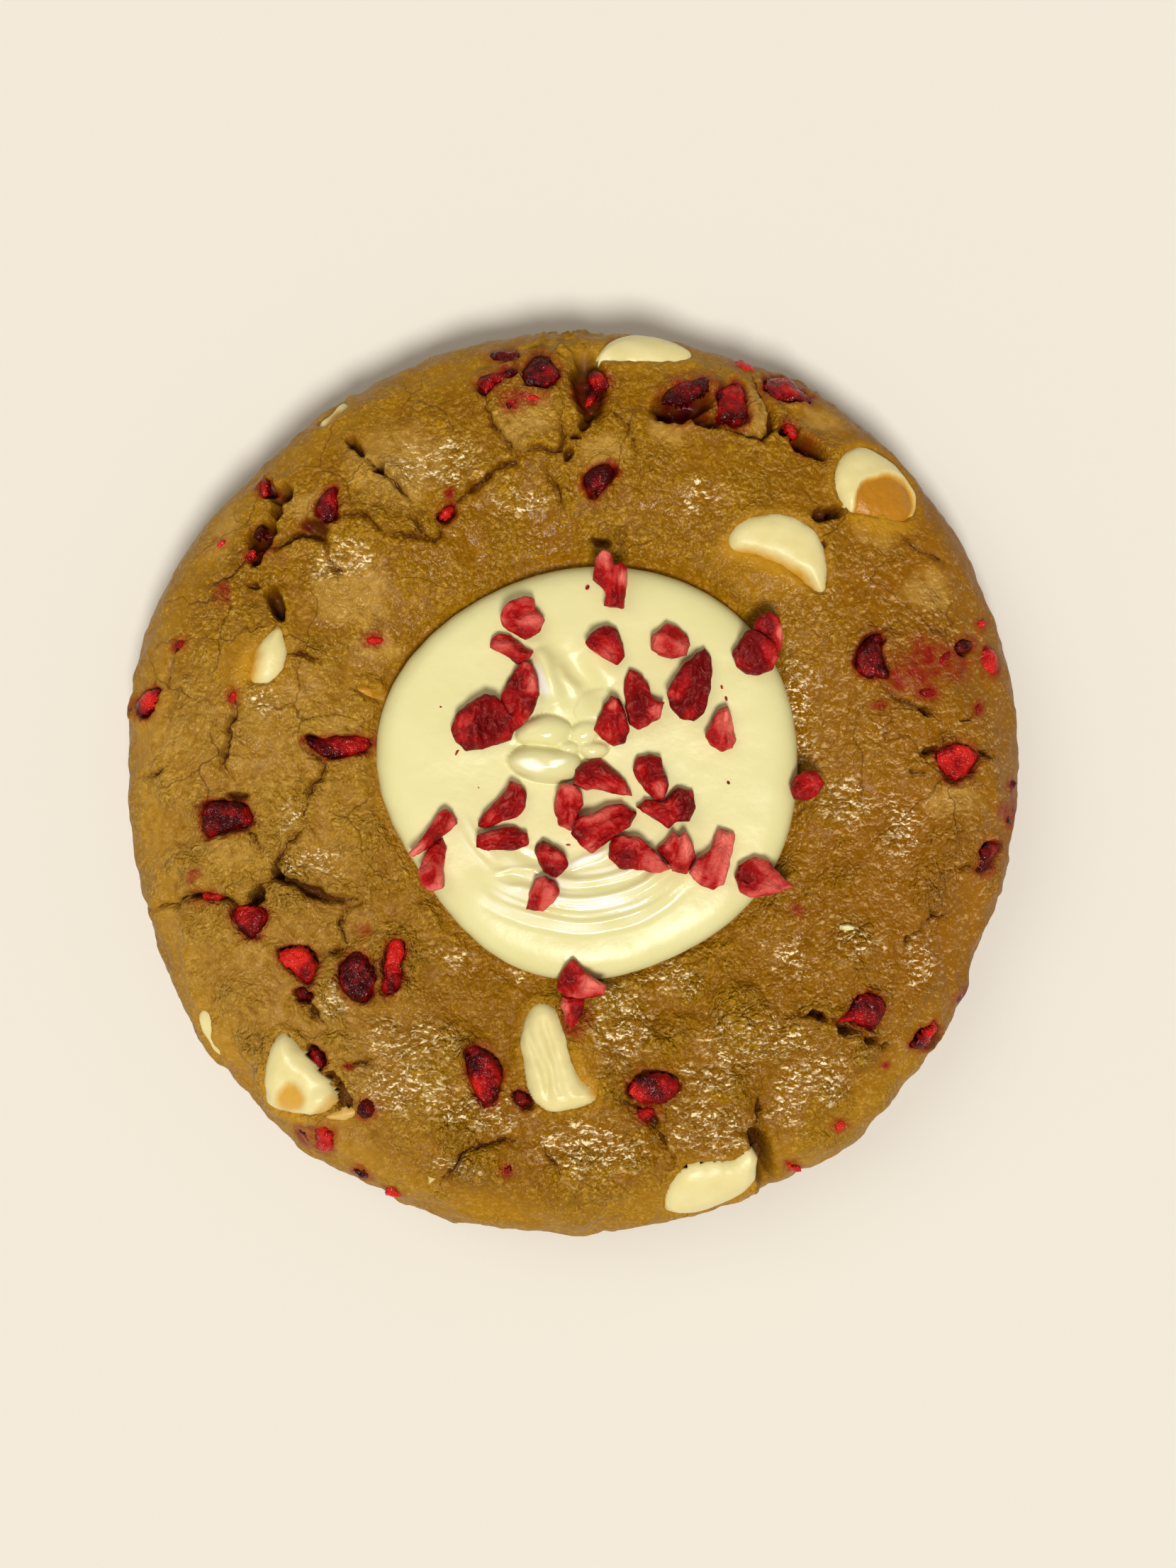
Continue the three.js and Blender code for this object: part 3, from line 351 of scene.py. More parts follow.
def off_path(plan, path):
    """Distance from plan points to a path, the share along it, and the side, +1 to its left."""
    distance = np.full(len(plan), 1e9)
    along = np.zeros(len(plan))
    side = np.zeros(len(plan))
    for k, (start, end) in enumerate(zip(path[:-1], path[1:])):
        run = np.subtract(end, start)
        to = plan - np.array(start)
        share = np.clip(to @ run / (run @ run), 0, 1)
        gap = np.hypot(*(to - share[:, None] * run).T)
        nearer = gap < distance
        distance[nearer] = gap[nearer]
        along[nearer] = (k + share[nearer]) / (len(path) - 1)
        side[nearer] = np.sign(run[0] * to[nearer, 1] - run[1] * to[nearer, 0])
    return distance, along, side


def inside_outline(plan, outline):
    """How far plan points lie inside a closed outline, in mm; less than 0 outside it."""
    loop = [*outline, outline[0]]
    inside = np.zeros(len(plan), bool)
    for (x0, y0), (x1, y1) in zip(loop[:-1], loop[1:]):
        between = (y0 > plan[:, 1]) != (y1 > plan[:, 1])
        crossing = x0 + (plan[:, 1] - y0) * (x1 - x0) / (y1 - y0 or 1e-9)
        inside ^= between & (plan[:, 0] < crossing)
    distance = off_path(plan, loop)[0]
    return np.where(inside, distance, -distance)


def eased(outline, rounds):
    """A closed outline with its corners cut off, once for each round."""
    ring = np.array(outline)
    for _ in range(rounds):
        ahead = np.roll(ring, -1, axis=0)
        ring = np.stack([0.75 * ring + 0.25 * ahead, 0.25 * ring + 0.75 * ahead], axis=1).reshape(-1, 2)
    return [tuple(corner) for corner in ring]


def around(plan, path, margin):
    """The indices of the plan points that lie within a margin of a path's box."""
    corners = np.array(path)
    low, high = corners.min(0) - margin, corners.max(0) + margin
    return np.flatnonzero(((plan > low) & (plan < high)).all(1))


def off_spot(plan, x, y, heading, length, width):
    """Distance from the middle of an oval in shares of its half sizes: 1 on its edge."""
    turn = math.radians(heading)
    dx, dy = (plan - (x, y)).T
    return np.hypot((dx * math.cos(turn) + dy * math.sin(turn)) / length,
                    (dy * math.cos(turn) - dx * math.sin(turn)) / width)


def vertices_of(node):
    """Points of a CAD node in mm."""
    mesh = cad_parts[node].data
    flat = np.zeros(3 * len(mesh.vertices))
    mesh.vertices.foreach_get("co", flat)
    return flat.reshape(-1, 3) / MM


def outline_of(node, centre, slots, reach):
    """The widest reach of a CAD node from a centre in the direction of each slot."""
    points = vertices_of(node)[:, :2] - centre
    angles = np.arctan2(points[:, 1], points[:, 0])
    lengths = np.hypot(points[:, 0], points[:, 1])
    return np.array([lengths[np.abs(np.angle(np.exp(1j * (angles - slot)))) < reach].max() for slot in slots])


def rounded(lengths, reach):
    """The lengths of a closed outline, each averaged with its neighbours."""
    ring = np.concatenate([lengths[-reach - 1:-1], lengths, lengths[1:reach + 1]])
    return np.convolve(ring, np.ones(2 * reach + 1) / (2 * reach + 1), "valid")


def read(piece, what):
    """The piece's vertex positions ("co", in mm) or normals ("normal")."""
    flat = np.zeros(3 * len(piece.data.vertices))
    piece.data.vertices.foreach_get(what, flat)
    return flat.reshape(-1, 3) / (MM if what == "co" else 1)


def place(piece, points):
    """Moves the piece's vertices to points in mm."""
    piece.data.vertices.foreach_set("co", (points * MM).ravel())
    piece.data.update()


def mark(piece, name, values):
    """Keeps a number for each vertex that the piece's material reads."""
    layer = piece.data.attributes.new(name, "FLOAT", "POINT")
    layer.data.foreach_set("value", np.clip(values, 0, 1).astype(np.float32))


def only(piece):
    """Makes the piece the one that operators act on."""
    bpy.ops.object.select_all(action="DESELECT")
    bpy.context.view_layer.objects.active = piece
    piece.select_set(True)


def spun(name, profile, segments):
    """A closed round body from a profile of (radius, height) in mm, from top to bottom middle."""
    mesh = bpy.data.meshes.new(name)
    points = [(radius * MM, 0, height * MM) for radius, height in profile]
    mesh.from_pydata(points, [(k, k + 1) for k in range(len(points) - 1)], [])
    piece = bpy.data.objects.new(name, mesh)
    bpy.context.scene.collection.objects.link(piece)
    only(piece)
    bpy.ops.object.mode_set(mode="EDIT")
    bpy.ops.mesh.select_all(action="SELECT")
    bpy.ops.mesh.spin(steps=segments, angle=2 * math.pi, center=(0, 0, 0), axis=(0, 0, 1))
    bpy.ops.mesh.select_all(action="SELECT")
    bpy.ops.mesh.remove_doubles(threshold=1e-6)
    bpy.ops.mesh.normals_make_consistent(inside=False)
    bpy.ops.object.mode_set(mode="OBJECT")
    bpy.ops.object.shade_smooth()
    piece.select_set(False)
    return piece


def modified(piece, kind, **settings):
    """Adds a modifier with its settings and applies it."""
    modifier = piece.modifiers.new(kind, kind)
    for name, value in settings.items():
        setattr(modifier, name, value)
    only(piece)
    bpy.ops.object.modifier_apply(modifier=modifier.name)
    piece.select_set(False)


BAKED_BERRIES = [(bright, brightest_place, eased(outline, 1)) for bright, brightest_place, outline in BAKED_BERRIES]
CHIPS = [(proud, eased(outline, 2)) for proud, outline in CHIPS]
slots = np.linspace(-math.pi, math.pi, 361)
DOUGH_OUTLINE = rounded(outline_of("cookie_dough", (0, 0), slots, 0.06), 5)
RADIUS = DOUGH_OUTLINE.mean()
DISC_OUTLINE = rounded(outline_of("white_chocolate_filling", DISC_CENTRE, slots, 0.09), 6)


def off_disc(plan):
    """How far plan points lie outside the filling's edge, in mm."""
    dx, dy = (plan - DISC_CENTRE).T
    return np.hypot(dx, dy) - np.interp(np.arctan2(dy, dx), slots, DISC_OUTLINE)


def dough_profile():
    """The round's section: the top, sunk towards the filling, the shoulder, belly and foot."""
    turn = np.linspace(0, math.pi / 2, 4000)
    radius = RADIUS * np.sin(turn) ** (2 / SHOULDER_POWER)
    well = WELL_DEPTH * (1 - smoothstep(WELL_END, WELL_START, radius))
    height = BELLY + (CREST - BELLY - well) * np.cos(turn) ** (2 / SHOULDER_ROUND)
    foot = turn[::-1]
    radius = np.concatenate([radius, RADIUS - FOOT_INSET * (1 - np.sin(foot)), [0]])
    height = np.concatenate([height, BELLY * (1 - np.cos(foot)), [0]])
    length = np.concatenate([[0], np.cumsum(np.hypot(np.diff(radius), np.diff(height)))])
    top_start = np.interp(WELL_END - 4, radius[:4000], length[:4000])
    side_start = np.interp(RADIUS - 2, radius[:4000], length[:4000])
    side_end = length[-2]
    stops = np.concatenate([
        np.linspace(0, top_start, 5)[:-1],
        np.arange(top_start, side_start, TOP_STEP),
        np.arange(side_start, side_end, SIDE_STEP),
        np.linspace(side_end, length[-1], int(RADIUS / COARSE_STEP)),
    ])
    return np.column_stack([np.interp(stops, length, radius), np.interp(stops, length, height)])


dough = spun("dough", dough_profile(), SEGMENTS)
base = read(dough, "co")
stretch = np.interp(np.arctan2(base[:, 1], base[:, 0]), slots, DOUGH_OUTLINE) / RADIUS
base[:, :2] *= stretch[:, None]
reach = np.hypot(base[:, 0], base[:, 1]) / stretch
base[:, 2] += smoothstep(BELLY, CREST - 2, base[:, 2]) * 0.35 * (
    np.sin(base[:, 0] / 3.3 + 0.6) * np.cos(base[:, 1] / 4.1) + np.sin((base[:, 0] + base[:, 1]) / 5.2))
off_edge = off_disc(base[:, :2])
base[:, 2] -= smoothstep(BELLY, CREST - 3, base[:, 2]) * 1.1 * smoothstep(2.2, -0.3, off_edge)
place(dough, base)
outward = read(dough, "normal")
skin = dough.copy()  # the dough before it rose, from which the pieces baked into it are cut
skin.data = dough.data.copy()

under = base[:, 2] < 0.05
rim = smoothstep(43.0, 46.5, reach)
side = smoothstep(0.75, 0.3, outward[:, 2])
plan = base[:, :2]
wobble = np.column_stack([ripple(base, 1.7, 1), ripple(base, 1.7, 2)])
crumble = np.column_stack([ripple(base, 0.7, 3), ripple(base, 0.7, 4)])
torn = plan + 0.35 * wobble + 0.28 * crumble

# Puffed bumps 4 to 8 mm across, higher on the near half, with a finely crinkled skin.
near_half = smoothstep(12, -16, base[:, 1])
bent = base + 1.6 * np.column_stack([ripple(base, 5.0, 10), ripple(base, 5.0, 11), wobble[:, 0]])
dome = 1 - smoothstep(0.0, 0.8, cells(bent, 6.0, 1))
flat = 1 - 0.5 * side
lift = (0.45 + 0.65 * near_half) * (dome - 0.45) * flat
lift += (0.3 + 0.7 * near_half) * (0.55 - smoothstep(0.1, 0.9, cells(bent, 11.0, 2))) * flat
lift += (0.26 + 0.14 * near_half) * ripple(base, 2.8, 6)
lift += 0.07 * ridges(base, 1.4, 7) + 0.09 * ripple(base, 0.9, 8)
off_knob = np.hypot(*(plan - RIM_KNOB).T)
lift += 0.9 * smoothstep(0.15, 0.6, ripple(base, 1.3, 13)) * hump(off_knob, 3.6)

# Where hairline cracks open between plates: more on the left, fewer on the puffed near half.
strain = ripple(base, 9, 9) + 0.25 * smoothstep(-10, -30, plan[:, 0]) - 0.3 * near_half - 0.1
hair = smoothstep(0.0, 0.3, strain)

# Each vertex keeps how far it is from the nearest crack, signed by its side, and the half width
# of that crack, so that the material draws its edge sharper than the mesh could.
# dark is painted shade: in the cracks, the hollows and the gaps round the berries.
dark = np.zeros(len(base))
line = np.full(len(base), LINE_REACH)
crack = np.zeros(len(base))
for width, depth, step, path in CRACKS:
    near = around(plan, path, 4)
    distance, along, left = off_path(torn[near], path)
    taper = tapering(along, 0.03) * np.clip(0.95 + 0.9 * ripple(base[near], 2.4, width + step), 0, 1)
    half = np.maximum(0.40 * width * (1 + 1.2 * ripple(base[near], 1.5, width * 10)), 0.16)
    nearer = distance < np.abs(line[near])
    line[near[nearer]] = (distance * left)[nearer]
    crack[near[nearer]] = (half * taper)[nearer]
    lift[near] -= depth * taper * smoothstep(half + 0.25, 0.4 * half, distance)
    lift[near] += (0.18 + 1.1 * step * left) * taper * hump(distance - half - 0.5, 0.8)
    dark[near] = np.maximum(dark[near], 0.5 * taper * smoothstep(half + 0.3, 0.2 * half, distance))
for width, depth, path in VALLEYS:
    near = around(plan, path, 6)
    distance, along = off_path(torn[near] + 0.5 * wobble[near], path)[:2]
    lift[near] -= depth * tapering(along, 0.05) * hump(distance, 0.5 * width)
for x, y, heading, length, width, depth in HOLLOWS:
    near = around(plan, [(x, y)], length + 3)
    far = off_spot(torn[near], x, y, heading, length, width)
    lift[near] -= depth * smoothstep(1.15, 0.6, far)
    lift[near] += 0.15 * hump(far - 1.4, 0.3)
    dark[near] = np.maximum(dark[near], 0.9 * smoothstep(1.15, 0.7, far))

# The dough rises to a ragged lip round each berry and chip, which stained it or melted into it.
stain = np.zeros(len(base))
butter = np.zeros(len(base))
for bright, brightest_place, outline in BAKED_BERRIES:
    near = around(plan, outline, 4)
    gap = -inside_outline(torn[near], outline)
    uneven = np.clip(0.6 + 1.8 * ripple(base[near], 2.2, 15), 0, 1.4)
    lift[near] += 0.40 * uneven * hump(gap - 0.6, 0.4)
    lift[near] -= 0.7 * smoothstep(0.35, -0.3, gap)
    stain[near] = np.maximum(stain[near], smoothstep(1.1, 0.0, gap) * 0.65)
    # Painted shade in the gap round the berry.
    dark[near] = np.maximum(dark[near], 0.85 * smoothstep(0.15 + 0.45 * uneven, 0.0, gap))
for x, y, heading, length, width, bright in BERRY_CRUMBS:
    near = around(plan, [(x, y)], length + 3)
    far = off_spot(torn[near], x, y, heading, length + 0.5, width + 0.5)
    stain[near] = np.maximum(stain[near], 0.65 * smoothstep(1.4, 0.7, far))
film = np.zeros(len(base))
for x, y, heading, length, width, height in FILMS_OVER:
    near = around(plan, [(x, y)], length + 2)
    far = off_spot(plan[near] + 0.5 * wobble[near], x, y, heading, length, width)
    film[near] = np.maximum(film[near], smoothstep(1.15, 0.55, far))
    lift[near] += height * smoothstep(1.0, 0.2, far)
for proud, outline in CHIPS:
    near = around(plan, outline, 5)
    gap = -inside_outline(plan[near] + 0.2 * crumble[near], outline)
    lift[near] += 0.30 * (1 - film[near]) * hump(gap - 0.7, 0.6)
    lift[near] -= (1 - film[near]) * smoothstep(0.3, -0.4, gap)
    butter[near] = np.maximum(butter[near], smoothstep(1.8, 0.0, gap))
for x, y, size in JUICE_STAINS:
    near = around(plan, [(x, y)], size + 1)
    patch = 0.8 * smoothstep(size, 0.2 * size, np.hypot(*(torn[near] - (x, y)).T))
    stain[near] = np.maximum(stain[near], patch)
stain *= 0.95 + 0.9 * ripple(base, 1.1, 12)


def patches(spots, core):
    """How far each point lies in ragged oval patches: 1 within a core of their size, 0 outside."""
    share = np.zeros(len(base))
    for x, y, length, width in spots:
        near = around(plan, [(x, y)], max(length, width) + 2)
        far = off_spot(torn[near] + 1.2 * wobble[near], x, y, 0, length, width)
        share[near] = np.maximum(share[near], smoothstep(1.3, core, far))
    return share


right_side = smoothstep(14, 24, plan[:, 0]) * smoothstep(-36, -26, plan[:, 1])
right_side *= smoothstep(30, 20, plan[:, 1])
left_side = smoothstep(-8, -30, plan[:, 0]) * smoothstep(22, 4, plan[:, 1])
wet = np.maximum(patches(WET_PATCHES, 0.5), 0.2 * right_side)
# Paler in the dry patches, and paler all over towards the left.
pale = np.maximum(patches(PALE_PATCHES, 0.4), 0.5 * left_side)
amber = patches(AMBER_PATCHES, 0.5)

# Painted shade, with some damp, in a ring just outside the filling's edge.
filling_shade_and_damp = hump(np.maximum(off_disc(plan), 0), 1.3) * (base[:, 2] > BELLY)
lift *= smoothstep(1.5, 4.5, base[:, 2]) * ~under * smoothstep(-0.6, 1.6, off_edge)
shaped = base + outward * lift[:, None]
shaped[:, 2] = np.maximum(shaped[:, 2], 0)
place(dough, shaped)

mark(dough, "dark", dark * (1 - under))
mark(dough, "line", 0.5 + line / (2 * LINE_REACH))
mark(dough, "crack", crack)
mark(dough, "hair", hair * (1 - side))
mark(dough, "stain", stain)
mark(dough, "butter", butter)
mark(dough, "film", film)
mark(dough, "rim", np.maximum(rim, side))
# Painted shade where the dough sank and round the filling, joined with the amber syrup patches in one mark.
sunk = smoothstep(0.25, -0.45, lift) * (1 - 0.5 * side)
mark(dough, "sunk_shade_and_amber", np.maximum.reduce([sunk, 0.8 * filling_shade_and_damp, 0.8 * amber]))
mark(dough, "wet", wet * (1 - side))
mark(dough, "puffed", near_half)
mark(dough, "pale", pale * (1 - side) * (1 + 1.2 * ripple(base, 0.8, 14)))
mark(dough, "under", smoothstep(3.2, 0.0, base[:, 2]))
# Darker towards the right.
mark(dough, "darker_right", smoothstep(14, 40, plan[:, 0]) * smoothstep(-34, -20, plan[:, 1]))
modified(dough, "DECIMATE", ratio=min(1.0, MOST_TRIANGLES / (2 * len(dough.data.polygons))))


def colour(code):
    """The linear colour of an sRGB hex value."""
    channels = [int(code[k:k + 2], 16) / 255 for k in (1, 3, 5)]
    linear = [c / 12.92 if c <= 0.04045 else ((c + 0.055) / 1.055) ** 2.4 for c in channels]
    return (*linear, 1.0)


def add(tree, kind, inputs=None, **settings):
    """Adds a shader node with its settings, and links or sets its inputs."""
    made = tree.nodes.new("ShaderNode" + kind)
    for name, value in settings.items():
        setattr(made, name, value)
    for key, value in (inputs or {}).items():
        if isinstance(value, bpy.types.NodeSocket):
            tree.links.new(value, made.inputs[key])
        else:
            made.inputs[key].default_value = value
    return made


def new_material(name):
    """A material with an empty node tree."""
    material = bpy.data.materials.new(name)
    material.use_nodes = True
    material.node_tree.nodes.clear()
    return material


def tinted(tree, tone, tints, ramp="LINEAR"):
    """Lays tints over a tone, the last on top.

    Each tint has the value that it follows, where that value starts it and where it is full, its
    most share and its colour. The ramp is the shape of the rise in between.
    """
    for value, start, full, most, tint in tints:
        spread = {"Value": value, "From Min": start, "From Max": full, "To Max": most}
        share = add(tree, "MapRange", spread, interpolation_type=ramp).outputs["Result"]
        over = colour(tint) if isinstance(tint, str) else tint
        tone = add(tree, "Mix", {0: share, 6: tone, 7: over}, data_type="RGBA").outputs[2]
    return tone


def baked_cookie_dough():
    """Butter cookie dough baked golden: a pebbled skin, wet with butter, with painted glints in specks.

    Its grains and specks of flour and sugar are drawn as coarse as they need to show. Its glints, and the
    shade in its pits, cracks and hollows, are painted into its colour.
    """
    material = new_material("baked_cookie_dough")
    tree = material.node_tree
    where = add(tree, "TexCoord").outputs["Object"]
    mark_of = {
        name: add(tree, "Attribute", attribute_name=name).outputs["Fac"]
        for name in ("dark", "line", "crack", "hair", "stain", "butter", "film", "rim", "sunk_shade_and_amber", "under",
                     "darker_right", "wet", "pale", "puffed")
    }

    # Places pushed about by noise, so that grains and plates have no straight edges.
    pushed = []
    for size, detail, reach in [(1.4, 1.0, 1.0), (4.0, 3.0, 4.0)]:
        push = add(tree, "TexNoise", {"Vector": where, "Scale": 1 / (size * MM), "Detail": detail})
        moved = add(tree, "VectorMath", {0: push.outputs["Color"], 1: (reach * MM,) * 3, 2: where},
                    operation="MULTIPLY_ADD")
        pushed.append(moved.outputs[0])
    bent, far_bent = pushed

    # Pebbles about 0.8 mm apart, as the distance from the nearest one's middle. Less the same
    # 0.15 mm farther back, it tells their tilt: more than 0 on the sides that face the near lamp.
    uphill = add(tree, "VectorMath", {0: bent, 1: (0, 0.15 * MM, 0)}, operation="ADD").outputs[0]
    pebbles, behind = [
        add(tree, "TexVoronoi", {"Vector": spot, "Scale": 1 / (0.8 * MM), "Smoothness": 0.25, "Detail": 1.0,
                                 "Roughness": 0.75}, feature="SMOOTH_F1").outputs["Distance"]
        for spot in (bent, uphill)
    ]
    tilt = add(tree, "Math", {0: pebbles, 1: behind}, operation="SUBTRACT").outputs[0]

    # Noise with bumps this many mm apart, its detail, roughness and swirl.
    drawn = add(tree, "VectorMath", {0: where, 1: (1.0, 1.7, 1.0)}, operation="MULTIPLY").outputs[0]
    grit, crinkle, flecks, patchy, broad, mottle, glints = [
        add(tree, "TexNoise", {"Vector": vector, "Scale": 1 / (size * MM), "Detail": detail,
                               "Roughness": fine, "Distortion": swirl}).outputs["Fac"]
        for vector, size, detail, fine, swirl in [
            (bent, 0.35, 1.0, 0.5, 0.0), (where, 1.3, 3.0, 0.6, 0.4), (where, 0.45, 3.0, 0.65, 0.8),
            (where, 4.0, 1.0, 0.5, 0.0), (where, 8.0, 2.0, 0.5, 0.0), (where, 2.0, 4.0, 0.6, 0.0),
            (drawn, 0.9, 3.0, 0.65, 0.6),
        ]
    ]
    height = 0.0
    for pattern, share in [(grit, 0.42), (pebbles, -0.34), (crinkle, 0.34)]:
        height = add(tree, "Math", {0: pattern, 1: share, 2: height}, operation="MULTIPLY_ADD").outputs[0]

    # The cracks, with ragged edges, and the hairlines between the plates of the crust.
    signed = add(tree, "Math", {0: mark_of["line"], 1: 2 * LINE_REACH, 2: -LINE_REACH},
                 operation="MULTIPLY_ADD")
    away = add(tree, "Math", {0: signed.outputs[0]}, operation="ABSOLUTE").outputs[0]
    ragged = add(tree, "Math", {0: grit, 1: 0.5, 2: away}, operation="MULTIPLY_ADD").outputs[0]
    within_crack = add(tree, "Math", {0: mark_of["crack"], 1: ragged}, operation="SUBTRACT").outputs[0]
    plates = add(tree, "TexVoronoi", {"Vector": far_bent, "Scale": 1 / (8.5 * MM)},
                 feature="DISTANCE_TO_EDGE").outputs["Distance"]
    crack, hairline = [
        add(tree, "MapRange", {"Value": value, "From Min": start, "From Max": full, "To Max": most},
            interpolation_type="SMOOTHSTEP").outputs["Result"]
        for value, start, full, most in [(within_crack, -0.26, -0.10, 1.0), (plates, 0.014, 0.002, 0.6)]
    ]
    crack_depth_and_shade = add(tree, "Math", {0: hairline, 1: mark_of["hair"], 2: crack}, operation="MULTIPLY_ADD",
                  use_clamp=True).outputs[0]

    # Crumb from brown to gold, with painted light on the pebbles' tops and painted shade in the pits and on
    # the pebbles' far sides.
    relief = add(tree, "MapRange", {"Value": mark_of["puffed"], "To Min": 0.40, "To Max": 0.46})
    tone = tinted(tree, colour("#896000"), [
        (mottle, 0.36, 0.64, 1.0, "#ac7f03"), (broad, 0.38, 0.62, 0.5, "#a87b00"),
        (patchy, 0.52, 0.66, 0.35, "#7c5000"), (height, 0.24, 0.38, 0.35, "#c4942f"),
        (height, 0.20, 0.06, 0.5, "#6c4400"), (flecks, 0.53, 0.66, 0.5, "#d2ab52"),
        (flecks, 0.45, 0.33, 0.6, "#6b4200"), (tilt, -0.04, -0.15, relief.outputs["Result"], "#6e4600"),
    ], "SMOOTHSTEP")
    # Painted shade where the dough sank and beside the filling, with amber syrup patches; a paler rim; darker
    # towards the right; paler in dry patches and towards the left.
    tone = tinted(tree, tone, [
        (mark_of["sunk_shade_and_amber"], 0, 1, 0.5, "#7f4e00"), (mark_of["rim"], 0, 1, 0.35, "#b4851a"),
        (mark_of["darker_right"], 0, 1, 0.7, "#875300"), (mark_of["pale"], 0, 1, 0.45, "#c79f4c"),
    ])

    # Painted butter glints: specks where it pooled and highlights on the pebbles' near sides, whiter where it
    # pooled.
    painted_glint_share = add(tree, "Math", {0: mark_of["wet"], 1: 0.45}, operation="MULTIPLY").outputs[0]
    shine = add(tree, "Math", {0: mark_of["wet"], 1: 0.2}, operation="ADD").outputs[0]
    for pattern, start, full, least in [(glints, 0.42, 0.60, 0.0), (mottle, 0.40, 0.56, 0.4)]:
        spread = {"Value": pattern, "From Min": start, "From Max": full, "To Min": least}
        share = add(tree, "MapRange", spread, interpolation_type="SMOOTHSTEP").outputs["Result"]
        shine = add(tree, "Math", {0: shine, 1: share}, operation="MULTIPLY").outputs[0]
    glint_tone = tinted(tree, colour("#dcae5e"), [(mark_of["wet"], 0, 1, 1.0, "#f8e6be")])
    tone = tinted(tree, tone, [
        (glints, 0.50, 0.66, painted_glint_share, "#dcc186"), (tilt, 0.06, 0.15, shine, glint_tone),
    ], "SMOOTHSTEP")

    # Chips melted into the dough, the browned underside, juice, and painted shade in what is open: cracks,
    # hairlines, hollows and the gaps round the berries.
    gilt = add(tree, "Math", {0: mark_of["film"], 1: mark_of["butter"]}, operation="MULTIPLY").outputs[0]
    deep = tinted(tree, colour("#4a2204"), [(mark_of["stain"], 0, 1, 1.0, "#4c0408")])
    tone = tinted(tree, tone, [
        (mark_of["butter"], 0, 1, 0.3, "#bd8c22"), (mark_of["film"], 0, 1, 0.6, "#9c6c0c"),
        (gilt, 0, 1, 0.8, "#b9881f"), (mark_of["under"], 0, 1, 0.75, "#8a5a0c"),
        (mark_of["stain"], 0, 1, 1.0, "#84160c"), (mark_of["dark"], 0, 1, 1.0, deep),
        (crack_depth_and_shade, 0, 1, 0.85, "#451b04"),
    ])

    # Relief, crisper on the puffed near half and softer in valleys, and how dry the skin is.
    sharpness = add(tree, "MapRange", {"Value": mark_of["puffed"], "To Min": 0.65}).outputs["Result"]
    sharpness = add(tree, "Math", {0: mark_of["sunk_shade_and_amber"], 1: -0.5, 2: sharpness}, operation="MULTIPLY_ADD")
    uneven, dryness = [
        add(tree, "MapRange", {"Value": patchy, "From Min": start, "From Max": full, "To Min": least,
                               "To Max": most}, interpolation_type="SMOOTHSTEP").outputs["Result"]
        for start, full, least, most in [(0.36, 0.58, 0.6, 1.0), (0.6, 0.42, 0.1, 0.6)]
    ]
    strength = add(tree, "Math", {0: uneven, 1: sharpness.outputs[0]}, operation="MULTIPLY").outputs[0]
    for name, change in [("film", -0.15), ("rim", -0.3)]:
        strength = add(tree, "Math", {0: mark_of[name], 1: change, 2: strength}, operation="MULTIPLY_ADD",
                       use_clamp=True).outputs[0]
    for name, change in [("rim", 0.6), ("wet", -0.5), ("film", -0.2)]:
        dryness = add(tree, "Math", {0: mark_of[name], 1: change, 2: dryness},
                      operation="MULTIPLY_ADD").outputs[0]
    height = add(tree, "Math", {0: crack_depth_and_shade, 1: -0.5, 2: height}, operation="MULTIPLY_ADD").outputs[0]
    bump = add(tree, "Bump", {"Height": height, "Strength": strength, "Distance": 1.15 * MM})
    roughness = add(tree, "MapRange", {"Value": dryness, "To Min": 0.16, "To Max": 0.5}).outputs["Result"]
    shader = add(tree, "BsdfPrincipled", {
        "Base Color": tone, "Roughness": roughness, "IOR": 1.46, "Specular IOR Level": 0.13,
        "Normal": bump.outputs["Normal"],
    })
    add(tree, "OutputMaterial", {"Surface": shader.outputs["BSDF"]})
    return material


dough.data.materials.append(baked_cookie_dough())
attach(dough, "root")
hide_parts("cookie_dough")

# ---- the filling -----------------------------------------------------------------------------
# A disc of white chocolate poured warm into the well in the dough: it set smooth and glossy,
# with a rounded edge, the last dollop on top and the arcs that the turning spoon left.

DISC_FLOOR = 14.6  # height of its flat underside in the dough
DISC_EDGE = 17.4  # height at which its wall turns into the round edge
DISC_TOP = 20.1
DISC_SEGMENTS = 460
DISC_STEP = 0.24  # spacing of the rings of the mesh on its top
DISC_SQUARENESS = 16.0  # the higher, the flatter its top and the tighter its rounded edge
SPOON_CENTRE = (0.5, 1.8)
SPOON_WAVE = 0.15  # height of the soft waves between its ridges
SPOON_PITCH = 2.3  # from wave to wave
# Ridges of the spoon: radius, width, height, from and to in degrees.
SPOON_ARCS = [
    (11.2, 0.5, 0.30, 262, 300), (12.5, 0.6, 0.42, 256, 312), (13.4, 0.4, 0.22, 246, 300),
    (14.2, 0.6, 0.50, 240, 318), (15.0, 0.4, 0.30, 236, 300), (15.7, 0.5, 0.42, 232, 314),
    (16.6, 0.6, 0.34, 236, 306), (17.3, 0.4, 0.16, 244, 300), (13.2, 0.4, 0.16, 200, 232),
    (14.4, 0.4, 0.14, 204, 236), (11.9, 0.35, 0.16, 300, 330),
]
# Soft mounds of the last dollop: middle, heading, half length, half width, height.
MOUNDS = [
    (-2.9, 2.0, -6, 3.9, 2.0, 2.0), (-3.1, 5.3, 6, 3.0, 1.7, 1.5), (1.2, 5.3, 24, 1.8, 1.2, 0.9),
    (2.0, 3.5, -12, 1.6, 0.9, 1.0), (-0.6, 3.6, 10, 1.4, 1.0, 1.0), (2.4, 8.0, 30, 2.4, 1.8, 0.4),
]
# Painted highlights on the wet dollop and its folds: middle, heading, half length, half width.
PAINTED_HIGHLIGHTS = [
    (-3.4, 10.6, 110, 2.0, 0.8), (-4.4, 1.9, -6, 1.8, 0.7), (-1.6, 2.2, 10, 1.0, 0.4),
    (1.4, -8.1, 20, 2.6, 0.5),
]
